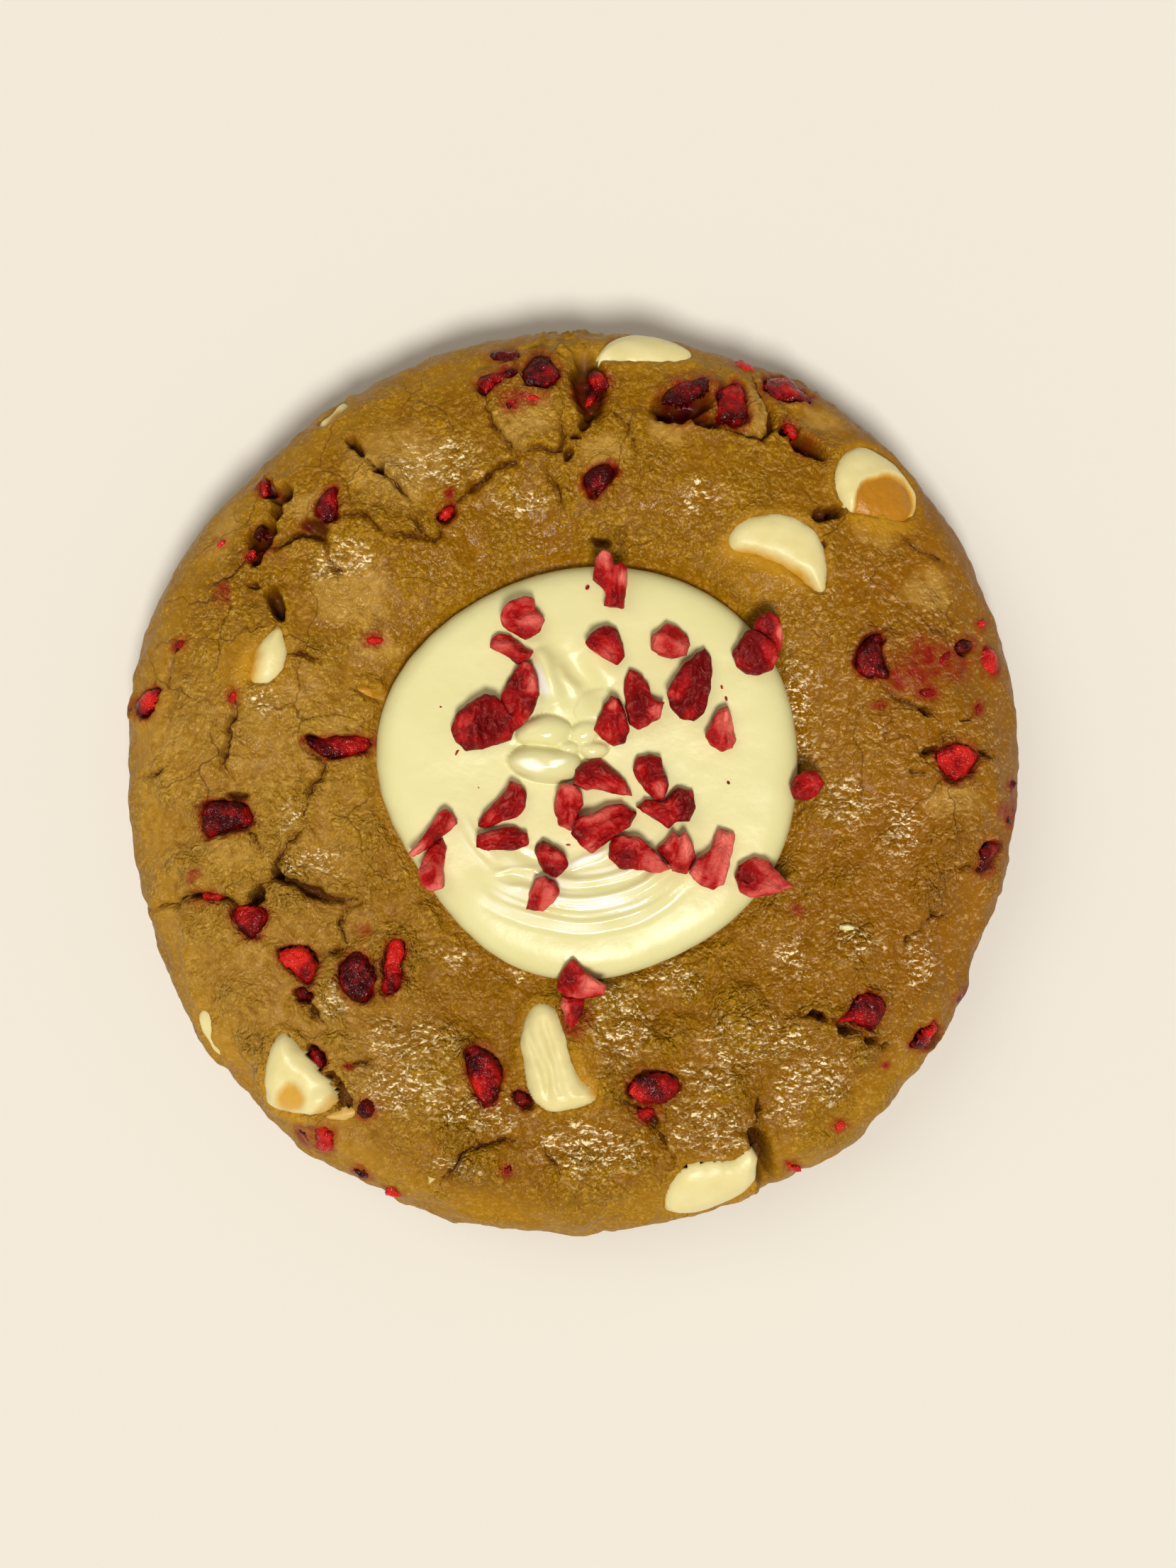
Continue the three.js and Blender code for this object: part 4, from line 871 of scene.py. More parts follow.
# Folds in the chocolate: width, height and path.
FOLDS = [
    (2.0, 1.2, [(-3.8, 14.4), (-3.0, 12.4), (-2.4, 10.6), (-1.6, 8.4)]),
    (1.2, 0.5, [(-1.6, 12.6), (-0.8, 11.0), (0.6, 9.4)]),
    (2.2, -0.45, [(-0.4, 13.6), (0.6, 11.6), (1.8, 10.0), (3.4, 8.8)]),
    (2.4, 0.35, [(1.8, 14.2), (2.8, 12.2), (4.4, 10.6)]),
    (0.7, 0.5, [(-0.6, -9.0), (1.0, -8.2), (2.5, -7.7), (3.8, -6.9)]),
    (0.5, 0.3, [(-8.6, -9.6), (-6.2, -9.1), (-3.9, -9.2)]),
    (0.5, 0.28, [(-8.5, -10.3), (-7.0, -10.9), (-5.4, -11.1)]),
    (0.7, -0.35, [(-6.4, 3.9), (-4.0, 3.9), (-1.4, 3.4)]),
]


def disc_profile():
    """The disc's section: a crowned top, a full round edge and a wall down into the dough."""
    full = DISC_OUTLINE.mean()
    turn = np.linspace(0, math.pi / 2, 2000)
    radius = full * np.sin(turn) ** (2 / DISC_SQUARENESS)
    height = DISC_EDGE + (DISC_TOP - DISC_EDGE) * np.cos(turn)
    length = np.concatenate([[0], np.cumsum(np.hypot(np.diff(radius), np.diff(height)))])
    stops = np.arange(0, length[-1], DISC_STEP)
    top = np.column_stack([np.interp(stops, length, radius), np.interp(stops, length, height)])
    wall = [(full, DISC_EDGE), (full, DISC_EDGE - 1), (full - 0.5, DISC_FLOOR), (0, DISC_FLOOR)]
    return np.concatenate([top, wall])


filling = spun("white_chocolate_disc", disc_profile(), DISC_SEGMENTS)
disc = read(filling, "co")
disc_stretch = np.interp(np.arctan2(disc[:, 1], disc[:, 0]), slots, DISC_OUTLINE) / DISC_OUTLINE.mean()
disc[:, :2] = disc[:, :2] * disc_stretch[:, None] + DISC_CENTRE
on_disc = smoothstep(DISC_EDGE, DISC_EDGE + 1.5, disc[:, 2])
rise = 0.22 * ripple(disc, 9.0, 21) + 0.06 * ripple(disc, 3.0, 22)
dollop = np.zeros(len(disc))
for x, y, heading, length, width, height in MOUNDS:
    far = off_spot(disc[:, :2] + 0.25 * ripple(disc, 2.5, 24)[:, None], x, y, heading, length, width)
    dollop = np.maximum(dollop, height * np.sqrt(np.clip(1.05 - far ** 2, 0, 1)))
rise += dollop
for width, height, path in FOLDS:
    distance, along = off_path(disc[:, :2] + 0.15 * ripple(disc, 2.0, 25)[:, None], path)[:2]
    rise += height * tapering(along, 0.02) * hump(distance, 0.55 * width)
dx, dy = (disc[:, :2] - SPOON_CENTRE).T
sweep = np.degrees(np.arctan2(dy, dx)) % 360
spread = np.hypot(dx, dy) + 0.3 * ripple(disc, 5.0, 23)
swept = smoothstep(228, 246, sweep) * smoothstep(322, 300, sweep) * smoothstep(9.8, 11.2, spread)
swept *= smoothstep(18.6, 17.0, spread)
rise += SPOON_WAVE * swept * np.sin(2 * math.pi * spread / SPOON_PITCH)
# Painted highlights on the faces of the spoon's waves and ridges, on the left part of the sweep.
painted_highlight = 0.7 * swept * smoothstep(0.2, -0.7, np.cos(2 * math.pi * spread / SPOON_PITCH))
for radius, width, height, start, end in SPOON_ARCS:
    ends = smoothstep(start, start + 14, sweep) * smoothstep(end, end - 14, sweep)
    across = (spread - radius) / width
    rise += height * ends * hump(across, np.where(across > 0, 0.5, 1.1))
    painted_highlight = np.maximum(painted_highlight, 2.4 * height * ends * hump(across - 0.4, 0.5))
disc[:, 2] += rise * on_disc
place(filling, disc)
mark(filling, "swept", np.maximum(swept, smoothstep(0.1, 0.5, dollop)))
painted_highlight *= smoothstep(10, 2, dx) * np.clip(0.75 + 1.2 * ripple(disc * (0.4, 1.0, 1.0), 2.0, 26), 0, 1)
for x, y, heading, length, width in PAINTED_HIGHLIGHTS:
    far = off_spot(disc[:, :2] + 0.3 * ripple(disc, 1.6, 27)[:, None], x, y, heading, length, width)
    painted_highlight = np.maximum(painted_highlight, smoothstep(1.2, 0.4, far))
mark(filling, "painted_highlight", painted_highlight)


def set_white_chocolate():
    """White chocolate that set from warm: smooth, cream coloured and softly glossy, with painted highlights.
    """
    material = new_material("set_white_chocolate")
    tree = material.node_tree
    where = add(tree, "TexCoord").outputs["Object"]
    cloud = add(tree, "TexNoise", {"Vector": where, "Scale": 1 / (9 * MM), "Detail": 2.0}).outputs["Fac"]
    painted_highlight = add(tree, "Attribute", attribute_name="painted_highlight").outputs["Fac"]
    # Cream, whitened where the highlights are painted.
    tone = tinted(tree, colour("#d9d497"), [(cloud, 0, 1, 1.0, "#e0dda8"), (painted_highlight, 0, 1, 1.0, "#fdfbee")])
    skin = add(tree, "TexNoise", {"Vector": where, "Scale": 1 / (1.4 * MM), "Detail": 3.0})
    bump = add(tree, "Bump", {"Height": skin.outputs["Fac"], "Strength": 0.2, "Distance": 0.25 * MM})
    swept = add(tree, "Attribute", attribute_name="swept").outputs["Fac"]
    roughness = add(tree, "MapRange", {"Value": swept, "To Min": 0.34, "To Max": 0.13}).outputs["Result"]
    shader = add(tree, "BsdfPrincipled", {
        "Base Color": tone, "Roughness": roughness, "IOR": 1.46, "Specular IOR Level": 0.5,
        "Subsurface Weight": 0.12, "Subsurface Radius": (1.0, 0.8, 0.4), "Subsurface Scale": 1.0 * MM,
        "Normal": bump.outputs["Normal"],
    })
    add(tree, "OutputMaterial", {"Surface": shader.outputs["BSDF"]})
    return material


filling.data.materials.append(set_white_chocolate())
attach(filling, "root")
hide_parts("white_chocolate_filling")

# ---- the chips in the dough ------------------------------------------------------------------
# Moulded drops of white chocolate, pressed into the dough before baking. Each softened, kept
# its shape and turned golden where a thin film of dough covers it.

BAKED_IN_THICKNESS = 1.0  # of a chip or berry, from its own skin down


def within(name, outlines, margin):
    """The part of the dough's skin inside any of the outlines, finely divided."""
    piece = skin.copy()
    piece.data = skin.data.copy()
    piece.name = name
    piece.data.name = name
    bpy.context.scene.collection.objects.link(piece)
    keep = np.zeros(len(base), bool)
    for outline in outlines:
        near = around(plan, outline, margin + 0.5)
        keep[near] |= inside_outline(plan[near], outline) > -margin
    keep &= base[:, 2] > BELLY + 0.5
    only(piece)
    bpy.ops.object.mode_set(mode="EDIT")
    bpy.ops.mesh.select_all(action="DESELECT")
    bpy.ops.object.mode_set(mode="OBJECT")
    piece.data.vertices.foreach_set("select", ~keep)
    bpy.ops.object.mode_set(mode="EDIT")
    bpy.ops.mesh.delete(type="VERT")
    bpy.ops.mesh.select_all(action="SELECT")
    bpy.ops.mesh.subdivide(number_cuts=1)
    bpy.ops.object.mode_set(mode="OBJECT")
    return piece


def rounded_edge(depth, reach):
    """Rises like a quarter circle, from 0 on an outline to 1 at the reach inside it."""
    return np.sqrt(np.clip(1 - (1 - np.clip(depth / reach, 0, 1)) ** 2, 0, 1))


# Where dough films a chip: middle and radius of round patches, how far in they thicken, and
# how brown they are.
FILMS = [(33.1, 29.5, 3.5, 0.5, 1.0), (17.5, 14.5, 10.8, 1.8, 1.0), (-37.0, 12.6, 4.8, 3.0, 1.0),
         (0.9, -25.6, 1.7, 1.3, 0.8), (1.3, -28.0, 2.1, 1.5, 0.8), (2.0, -30.4, 2.3, 1.6, 0.7),
         (3.0, -32.8, 1.8, 1.3, 0.6), (-29.6, -33.2, 1.9, 1.0, 0.6), (-25.4, 39.0, 1.4, 1.0, 0.7),
         (-21.9, 9.5, 2.6, 0.6, 0.85), (-25.0, -35.6, 2.6, 0.8, 0.45)]
# Creases of a chip that folded as it softened: width, height and path.
CREASES = [
    (0.5, -0.45, [(-4.9, -26.0), (-3.9, -28.4), (-2.9, -31.0), (-2.5, -33.8)]),
    (0.5, -0.35, [(-3.4, -24.6), (-2.6, -27.2), (-1.8, -30.0), (-1.0, -33.4)]),
    (0.8, -0.30, [(-31.4, -31.0), (-29.0, -31.4), (-26.6, -32.8)]),
]
CHIP_ROOT = 0.9  # how deep a chip's edge goes into the dough

chips = within("white_chocolate_chips", [outline for proud, outline in CHIPS], 0.5)
points = read(chips, "co")
normal = read(chips, "normal")
rise = np.full(len(points), -CHIP_ROOT)
for proud, outline in CHIPS:
    near = around(points[:, :2], outline, 1.5)
    depth = inside_outline(points[near, :2] + 0.2 * ripple(points[near], 1.6, 34)[:, None], outline)
    height = (proud + 0.25 + CHIP_ROOT) * rounded_edge(depth + 0.4, 2.2)
    rise[near] = np.maximum(rise[near], height - CHIP_ROOT)
rise += 0.16 * ripple(points, 3.0, 31) + 0.04 * ripple(points, 1.1, 32)
for width, height, path in CREASES:
    distance, along = off_path(points[:, :2] + 0.15 * ripple(points, 1.5, 36)[:, None], path)[:2]
    rise += height * tapering(along, 0.02) * hump(distance, width)
film = np.zeros(len(points))
ragged = 0.4 * ripple(points, 2.2, 33) + 0.1 * ripple(points, 0.6, 35)
for x, y, size, fade, brown in FILMS:
    away = np.hypot(*(points[:, :2] - (x, y)).T) + ragged
    film = np.maximum(film, brown * smoothstep(size + 0.2, size - fade, away))
rise -= 0.55 * film
place(chips, points + normal * rise[:, None])
mark(chips, "film", film)
modified(chips, "SOLIDIFY", thickness=BAKED_IN_THICKNESS * MM, offset=-1)
only(chips)
bpy.ops.object.shade_smooth()


def melted_chip_chocolate():
    """Chip chocolate after baking: pale and satin, golden under its film of dough."""
    material = new_material("melted_chip_chocolate")
    tree = material.node_tree
    where = add(tree, "TexCoord").outputs["Object"]
    film = add(tree, "Attribute", attribute_name="film").outputs["Fac"]
    cloud = add(tree, "TexNoise", {"Vector": where, "Scale": 1 / (2.5 * MM), "Detail": 3.0}).outputs["Fac"]
    tone = tinted(tree, colour("#d9cb87"), [
        (cloud, 0, 1, 1.0, "#e4dca8"), (film, 0, 0.6, 1.0, "#cf9f3a"), (film, 0.6, 1.0, 1.0, "#b67a0c"),
    ])
    grain = add(tree, "TexNoise", {"Vector": where, "Scale": 1 / (0.8 * MM), "Detail": 3.0}).outputs["Fac"]
    strength = add(tree, "MapRange", {"Value": film, "To Min": 0.2, "To Max": 0.8}).outputs["Result"]
    bump = add(tree, "Bump", {"Height": grain, "Strength": strength, "Distance": 0.3 * MM})
    roughness = add(tree, "MapRange", {"Value": cloud, "To Min": 0.32, "To Max": 0.46}).outputs["Result"]
    shader = add(tree, "BsdfPrincipled", {
        "Base Color": tone, "Roughness": roughness, "IOR": 1.46,
        "Subsurface Weight": 0.2, "Subsurface Radius": (1.0, 0.8, 0.4), "Subsurface Scale": 1.0 * MM,
        "Normal": bump.outputs["Normal"],
    })
    add(tree, "OutputMaterial", {"Surface": shader.outputs["BSDF"]})
    return material


chips.data.materials.append(melted_chip_chocolate())
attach(chips, "root")
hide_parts(*[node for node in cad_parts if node.startswith("white_chocolate_chip")])

# Two flakes broken off a chip, lying on the dough: middle, heading, half length, half width.
FLAKES = [(29.1, -15.4, -5, 1.0, 0.4), (-15.2, -42.4, 40, 0.7, 0.6)]
FLAKE_THICKNESS = 0.3

for number, (x, y, heading, length, width) in enumerate(FLAKES):
    nearest = np.argmin(np.hypot(*(shaped[:, :2] - (x, y)).T) - 0.1 * shaped[:, 2])
    bpy.ops.mesh.primitive_cone_add(vertices=6 - 3 * number, radius1=1, radius2=0.6, depth=1)
    flake = bpy.context.active_object
    flake.name = flake.data.name = "chocolate_flake_" + str(number + 1)
    flake.scale = (length * MM, width * MM, FLAKE_THICKNESS * MM)
    flake.rotation_euler = (0, 0, math.radians(heading))
    flake.location = (x * MM, y * MM, (shaped[nearest, 2] + 0.2) * MM)
    bpy.ops.object.transform_apply(location=True, rotation=True, scale=True)
    mark(flake, "film", np.full(len(flake.data.vertices), 0.4 * number))
    flake.data.materials.append(chips.data.materials[0])
    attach(flake, "root")

# ---- the raspberry baked into the dough ------------------------------------------------------
# Broken pieces of raspberry that went through the oven: wet, dark wine coloured and glinting,
# with brighter red where the juice is thin.

BERRY_ROOT = 0.8  # how deep a berry's edge goes into the dough


def oval(x, y, heading, length, width):
    """The outline of a crumb: an oval with eight points."""
    turn = math.radians(heading)
    ring = []
    for k in range(8):
        along = length * math.cos(math.pi * k / 4)
        across = width * math.sin(math.pi * k / 4)
        ring.append((x + along * math.cos(turn) - across * math.sin(turn),
                     y + along * math.sin(turn) + across * math.cos(turn)))
    return ring


crumb_berries = [(bright, (x, y), oval(x, y, heading, length, width))
                 for x, y, heading, length, width, bright in BERRY_CRUMBS]
berries = BAKED_BERRIES + crumb_berries
baked = within("baked_raspberry_pieces", [outline for bright, brightest_place, outline in berries], 0.3)
points = read(baked, "co")
normal = read(baked, "normal")
rise = np.full(len(points), -BERRY_ROOT)
redness = np.zeros(len(points))
for bright, brightest_place, outline in berries:
    near = around(points[:, :2], outline, 1.2)
    depth = inside_outline(points[near, :2] + 0.25 * ripple(points[near], 1.1, 45)[:, None], outline)
    height = (0.45 + BERRY_ROOT) * rounded_edge(depth + 0.25, 1.1)
    rise[near] = np.maximum(rise[near], height - BERRY_ROOT)
    away = np.hypot(*(points[near, :2] - brightest_place).T)
    red = bright + 0.75 * smoothstep(2.4, 0.3, away) * min(1, 2 * bright)
    redness[near] = np.maximum(redness[near], (depth > -0.5) * red)
rise += 0.25 * (0.5 - cells(points, 1.9, 46)) + 0.35 * ripple(points, 1.8, 41)
rise += 0.14 * ridges(points, 0.8, 42)
place(baked, points + normal * rise[:, None])
mark(baked, "bright", redness - 0.1 + 0.7 * ripple(points, 1.8, 43) + 0.35 * ripple(points, 0.6, 44))
modified(baked, "SOLIDIFY", thickness=BAKED_IN_THICKNESS * MM, offset=-1)
only(baked)
bpy.ops.object.shade_smooth()


def baked_raspberry():
    """Raspberry cooked in the dough: a wet skin over dark red flesh."""
    material = new_material("baked_raspberry")
    tree = material.node_tree
    where = add(tree, "TexCoord").outputs["Object"]
    bright = add(tree, "Attribute", attribute_name="bright").outputs["Fac"]
    tone = tinted(tree, colour("#3c0002"), [
        (bright, 0, 0.5, 1.0, "#8c0609"), (bright, 0.5, 1.0, 1.0, "#cc1f16"),
    ])
    pulp = add(tree, "TexNoise", {"Vector": where, "Scale": 1 / (0.5 * MM), "Detail": 2.0, "Distortion": 0.6})
    bump = add(tree, "Bump", {"Height": pulp.outputs["Fac"], "Strength": 0.9, "Distance": 0.5 * MM})
    shader = add(tree, "BsdfPrincipled", {
        "Base Color": tone, "Roughness": 0.16, "IOR": 1.42, "Specular IOR Level": 0.28,
        "Normal": bump.outputs["Normal"],
    })
    add(tree, "OutputMaterial", {"Surface": shader.outputs["BSDF"]})
    return material


baked.data.materials.append(baked_raspberry())
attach(baked, "root")
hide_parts(*[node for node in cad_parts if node.startswith("raspberry_baked_in")])
bpy.data.objects.remove(skin)

# ---- the dried raspberry on top --------------------------------------------------------------
# Freeze-dried raspberry broken by hand and scattered on the soft chocolate: matte, crisp shards
# and whole drupelets, deep red to pink, which sank in a little before it set.

SHARD_FOOT = 19.0  # height of a shard's foot, sunk into the chocolate
SHARD_EDGE = 0.7  # how far in from its outline a shard reaches its full height
shards = []


def shard(tone, top, outline, folds=(), tints=(), voxel=0.2):
    """One broken piece: its outline is filled and raised, then domed, folded and wrinkled.

    tone: how pink it is. top: the height of its top. folds: width, height and path of its ridges
    and creases. tints: x, y, size and tone of spots.
    """
    corners = len(outline)
    mesh = bpy.data.meshes.new("shard")
    rise = top - SHARD_FOOT
    mesh.from_pydata([(x * MM, y * MM, SHARD_FOOT * MM) for x, y in outline],
                     [(k, (k + 1) % corners) for k in range(corners)], [])
    piece = bpy.data.objects.new("shard", mesh)
    bpy.context.scene.collection.objects.link(piece)
    only(piece)
    bpy.ops.object.mode_set(mode="EDIT")
    bpy.ops.mesh.select_all(action="SELECT")
    bpy.ops.mesh.edge_face_add()
    bpy.ops.mesh.extrude_region_move(TRANSFORM_OT_translate={"value": (0, 0, rise * MM)})
    bpy.ops.mesh.select_all(action="SELECT")
    bpy.ops.mesh.normals_make_consistent(inside=False)
    bpy.ops.object.mode_set(mode="OBJECT")
    modified(piece, "REMESH", mode="VOXEL", voxel_size=voxel * MM)
    modified(piece, "SMOOTH", factor=0.5, iterations=1)
    points = read(piece, "co")
    seed = len(shards) + 60
    spread = np.array(outline) - np.mean(outline, axis=0)
    lengthwise = np.linalg.eigh(spread.T @ spread)[1][:, 1]
    crosswise = (-lengthwise[1], lengthwise[0])
    along = points[:, :2] @ lengthwise
    grain = np.column_stack([0.3 * along, points[:, :2] @ crosswise, 0.4 * points[:, 2]])
    depth = inside_outline(points[:, :2], outline)
    share = (points[:, 2] - SHARD_FOOT) / rise
    relief = 0.36 * ripple(points, 3.6, seed) + 0.32 * ridges(points, 2.8, seed + 0.3)
    relief += 0.12 * ridges(grain, 0.9, seed + 0.6) + 0.12 * ripple(points, 0.7, seed + 0.7)
    for width, height, path in folds:
        gap = off_path(points[:, :2] + 0.12 * ripple(points, 1.2, seed)[:, None], path)[0]
        relief += height * hump(gap, 0.6 * width)
    points[:, 2] += share * (relief - 0.75 * (1 - rounded_edge(depth, SHARD_EDGE)))
    lean = math.radians(97 * seed)
    offset = points[:, :2] - np.mean(outline, axis=0)
    points[:, 2] += 0.24 * share * (offset @ (math.cos(lean), math.sin(lean)))
    points[:, :2] -= 0.2 * ((1 - share) ** 2)[:, None] * offset
    crumbly = np.column_stack([ripple(points, 0.9, seed + 0.1), ripple(points, 0.9, seed + 0.2)])
    points[:, :2] += 0.16 * crumbly
    place(piece, points)
    pink = tone + 0.55 * ripple(points, 2.4, seed + 0.4) + 0.25 * ripple(grain, 0.8, seed + 0.5)
    for x, y, size, spot in tints:
        offset = points[:, :2] - (x, y)
        away = np.hypot(0.8 * offset @ lengthwise, 1.25 * offset @ crosswise)
        near = smoothstep(1.3 * size, 0.2 * size, away + 0.5 * ripple(points, 1.1, seed))
        pink += near * (spot - tone)
    # Painted shade: each piece turns darker red towards its foot.
    mark(piece, "pink", pink - 0.5 * smoothstep(0.45, 0.0, share))
    shards.append(piece)


shard(0.48, 22.6, [(3.2, 24.5), (3.9, 24.2), (4.3, 22.8), (5.1, 23.2), (5.7, 22.4), (5.5, 20.0),
                   (5.3, 18.2),
                   (4.4, 18.4), (3.2, 18.6), (3.5, 20.0), (2.0, 21.4), (2.3, 23.5)],
      folds=[(0.6, 0.4, [(5.2, 22.6), (5.0, 20.6), (4.9, 18.6)]),
             (0.5, -0.35, [(4.5, 22.4), (4.2, 20.8), (4.3, 19.0)])],
      tints=[(3.2, 23.7, 1.2, 0.8), (5.4, 21.4, 0.8, 0.95), (3.0, 21.6, 1.0, 0.25)])
shard(0.34, 22.2, [(-7.7, 17.4), (-7.3, 18.5), (-6.4, 19.2), (-5.2, 19.6), (-4.2, 19.5), (-3.9, 18.4),
                   (-2.9, 17.2),
                   (-3.6, 15.8), (-5.0, 15.0), (-6.2, 15.6), (-7.5, 16.5)],
      folds=[(0.6, -0.5, [(-6.8, 17.3), (-5.2, 18.1), (-4.0, 18.2)])],
      tints=[(-4.6, 16.9, 1.3, 0.75), (-5.4, 15.4, 0.8, 0.1), (-6.2, 17.6, 0.7, 0.2)])
shard(0.55, 21.7, [(-8.8, 14.2), (-8.6, 15.2), (-8.0, 15.7), (-6.9, 15.6), (-5.7, 14.8), (-5.0, 14.1),
                   (-4.1, 13.9),
                   (-4.7, 12.9), (-6.1, 12.4), (-6.9, 13.3), (-8.0, 13.8)],
      folds=[(0.6, 0.35, [(-8.3, 14.6), (-6.8, 14.4), (-5.0, 13.4)]),
             (0.4, -0.3, [(-8.0, 15.2), (-6.4, 15.0), (-5.4, 14.3)])])
shard(0.14, 22.4, [(-6.0, 12.0), (-5.4, 12.8), (-4.4, 12.5), (-3.6, 10.8), (-3.6, 9.2), (-4.3, 7.2),
                   (-5.3, 6.0),
                   (-6.5, 5.1), (-7.7, 7.2), (-7.6, 9.2), (-6.8, 10.9)],
      folds=[(0.6, 0.4, [(-4.4, 12.0), (-4.2, 9.8), (-5.0, 7.2)]),
             (0.6, -0.4, [(-6.2, 10.9), (-6.1, 9.0), (-6.5, 7.0)])],
      tints=[(-5.0, 12.4, 0.8, 0.9), (-6.5, 7.2, 1.1, 0.1), (-4.4, 10.4, 1.0, 0.55)])
shard(0.03, 22.1, [(-12.9, 5.6), (-12.3, 7.3), (-11.2, 8.2), (-10.4, 8.7), (-9.3, 9.3), (-8.2, 9.2),
                   (-6.9, 8.0),
                   (-5.8, 6.3), (-6.6, 4.4), (-8.4, 3.9), (-9.6, 3.5), (-11.2, 3.3), (-12.4, 4.2)],
      folds=[(0.6, 0.45, [(-10.4, 8.0), (-10.5, 6.0), (-10.2, 4.2)]),
             (0.6, 0.4, [(-8.2, 8.4), (-8.3, 6.4), (-8.0, 4.6)]),
             (0.6, -0.5, [(-9.3, 8.2), (-9.4, 6.0), (-9.2, 4.4)])],
      tints=[(-11.6, 6.4, 0.9, 0.55), (-12.0, 4.4, 0.8, 0.5)])
shard(0.30, 21.9, [(1.2, 14.7), (1.8, 15.7), (2.9, 16.4), (3.9, 16.6), (4.7, 16.1), (5.2, 14.6),
                   (5.5, 13.3),
                   (4.7, 12.3), (3.5, 12.9), (1.9, 14.0)],
      folds=[(0.5, -0.55, [(1.7, 14.9), (3.0, 14.6), (4.8, 13.4)]),
             (0.7, 0.35, [(2.2, 15.4), (3.8, 15.4), (4.8, 14.4)])],
      tints=[(3.4, 13.6, 1.2, 0.55)])
shard(0.44, 21.9, [(9.9, 16.9), (11.0, 16.4), (12.1, 15.4), (12.3, 14.5), (11.9, 13.4), (10.4, 13.0),
                   (9.0, 13.4),
                   (8.2, 14.0), (8.1, 15.3), (9.0, 16.1)],
      folds=[(0.6, 0.3, [(8.9, 15.4), (10.2, 15.2), (11.6, 14.2)])], tints=[(11.3, 14.2, 1.0, 0.65)])
shard(0.10, 22.4, [(18.3, 16.1), (17.5, 15.0), (16.7, 13.5), (17.2, 12.1), (18.4, 11.3), (19.6, 11.3),
                   (20.9, 11.8),
                   (21.6, 13.2), (21.1, 14.6), (20.1, 15.5), (19.1, 16.0)],
      folds=[(0.7, 0.4, [(18.4, 15.2), (19.4, 13.8), (20.0, 12.2)]),
             (0.5, -0.3, [(17.6, 14.0), (18.6, 12.4)])],
      tints=[(20.4, 13.4, 0.9, 0.45)])
shard(0.14, 22.0, [(18.9, 16.2), (19.4, 17.4), (20.6, 18.0), (21.6, 17.5), (22.1, 15.9), (22.0, 14.0),
                   (21.3, 13.4),
                   (20.8, 15.0), (19.8, 15.7)],
      tints=[(21.8, 16.0, 1.0, 0.8), (19.8, 16.6, 0.8, 0.3)])
shard(-0.10, 22.5, [(13.8, 14.2), (14.5, 13.2), (14.6, 11.2), (14.3, 9.2), (13.8, 7.3), (12.6, 6.4),
                    (11.2, 6.7),
                   (10.2, 7.9), (9.8, 9.4), (10.4, 10.6), (11.2, 12.0), (12.6, 13.2)],
      folds=[(0.5, -0.5, [(13.9, 13.4), (14.0, 10.4), (13.2, 7.4)]),
             (0.8, 0.35, [(12.6, 12.6), (12.4, 10.0), (11.6, 7.6)]),
             (0.5, -0.3, [(11.3, 11.4), (11.0, 8.6)])],
      tints=[(12.2, 7.2, 0.8, 0.4), (10.6, 9.2, 0.7, 0.35)])
shard(0.22, 22.0, [(5.9, 12.1), (7.0, 11.5), (7.9, 10.4), (8.4, 8.9), (9.6, 8.4), (9.1, 6.7), (7.8, 6.0),
                   (6.8, 5.5),
                   (5.9, 6.1), (5.5, 7.9), (5.3, 10.4)],
      folds=[(0.5, -0.45, [(6.1, 11.4), (6.1, 9.0), (6.3, 6.4)]),
             (0.7, 0.35, [(7.0, 10.8), (7.2, 8.6), (7.6, 6.6)])],
      tints=[(8.6, 7.6, 0.9, 0.6), (5.8, 8.4, 0.7, 0.2)])
shard(0.03, 21.9, [(4.0, 9.2), (4.9, 8.8), (5.5, 7.4), (5.9, 5.8), (5.5, 4.1), (4.2, 3.8), (3.0, 4.6),
                   (2.1, 5.6),
                   (2.8, 7.0), (3.3, 8.3)],
      folds=[(0.6, 0.35, [(4.3, 8.4), (4.4, 6.4), (4.6, 4.6)]), (0.5, -0.3, [(3.4, 7.4), (3.4, 5.4)])],
      tints=[(4.3, 8.3, 0.8, 0.8), (4.4, 4.6, 0.9, 0.1)])
shard(0.61, 21.9, [(16.3, 8.1), (16.7, 6.7), (17.2, 4.6), (16.8, 3.6), (15.6, 3.3), (14.4, 3.9),
                   (13.9, 5.0),
                   (14.6, 6.6), (15.4, 7.8)],
      folds=[(0.6, 0.35, [(16.0, 7.4), (15.9, 5.6), (15.8, 4.0)])],
      tints=[(16.3, 7.5, 0.8, 0.95), (14.8, 4.8, 0.9, 0.3)])
shard(0.35, 21.8, [(0.0, -0.2), (0.2, 1.2), (1.2, 2.2), (2.7, 2.6), (4.4, 1.3), (5.7, -0.1), (6.2, -1.4),
                   (4.6, -1.3),
                   (3.0, -0.8), (1.3, -0.8)],
      folds=[(0.5, -0.4, [(0.6, 0.2), (2.4, 0.8), (4.6, -0.4)]),
             (0.5, 0.3, [(0.8, 1.4), (2.4, 1.8), (4.0, 0.8)])],
      tints=[(1.2, 0.6, 1.2, 0.1), (4.8, -0.6, 1.3, 0.6)])
shard(0.12, 22.1, [(6.2, 1.4), (6.7, 2.6), (8.0, 3.0), (9.2, 2.6), (9.5, 1.4), (10.1, -0.1), (9.6, -1.6),
                   (8.6, -1.9),
                   (7.5, -0.8), (6.8, 0.3)],
      folds=[(0.6, 0.4, [(7.6, 2.2), (8.4, 0.4), (9.0, -1.2)])],
      tints=[(9.2, -0.8, 1.0, 0.75), (7.4, 1.8, 1.0, 0.1)])
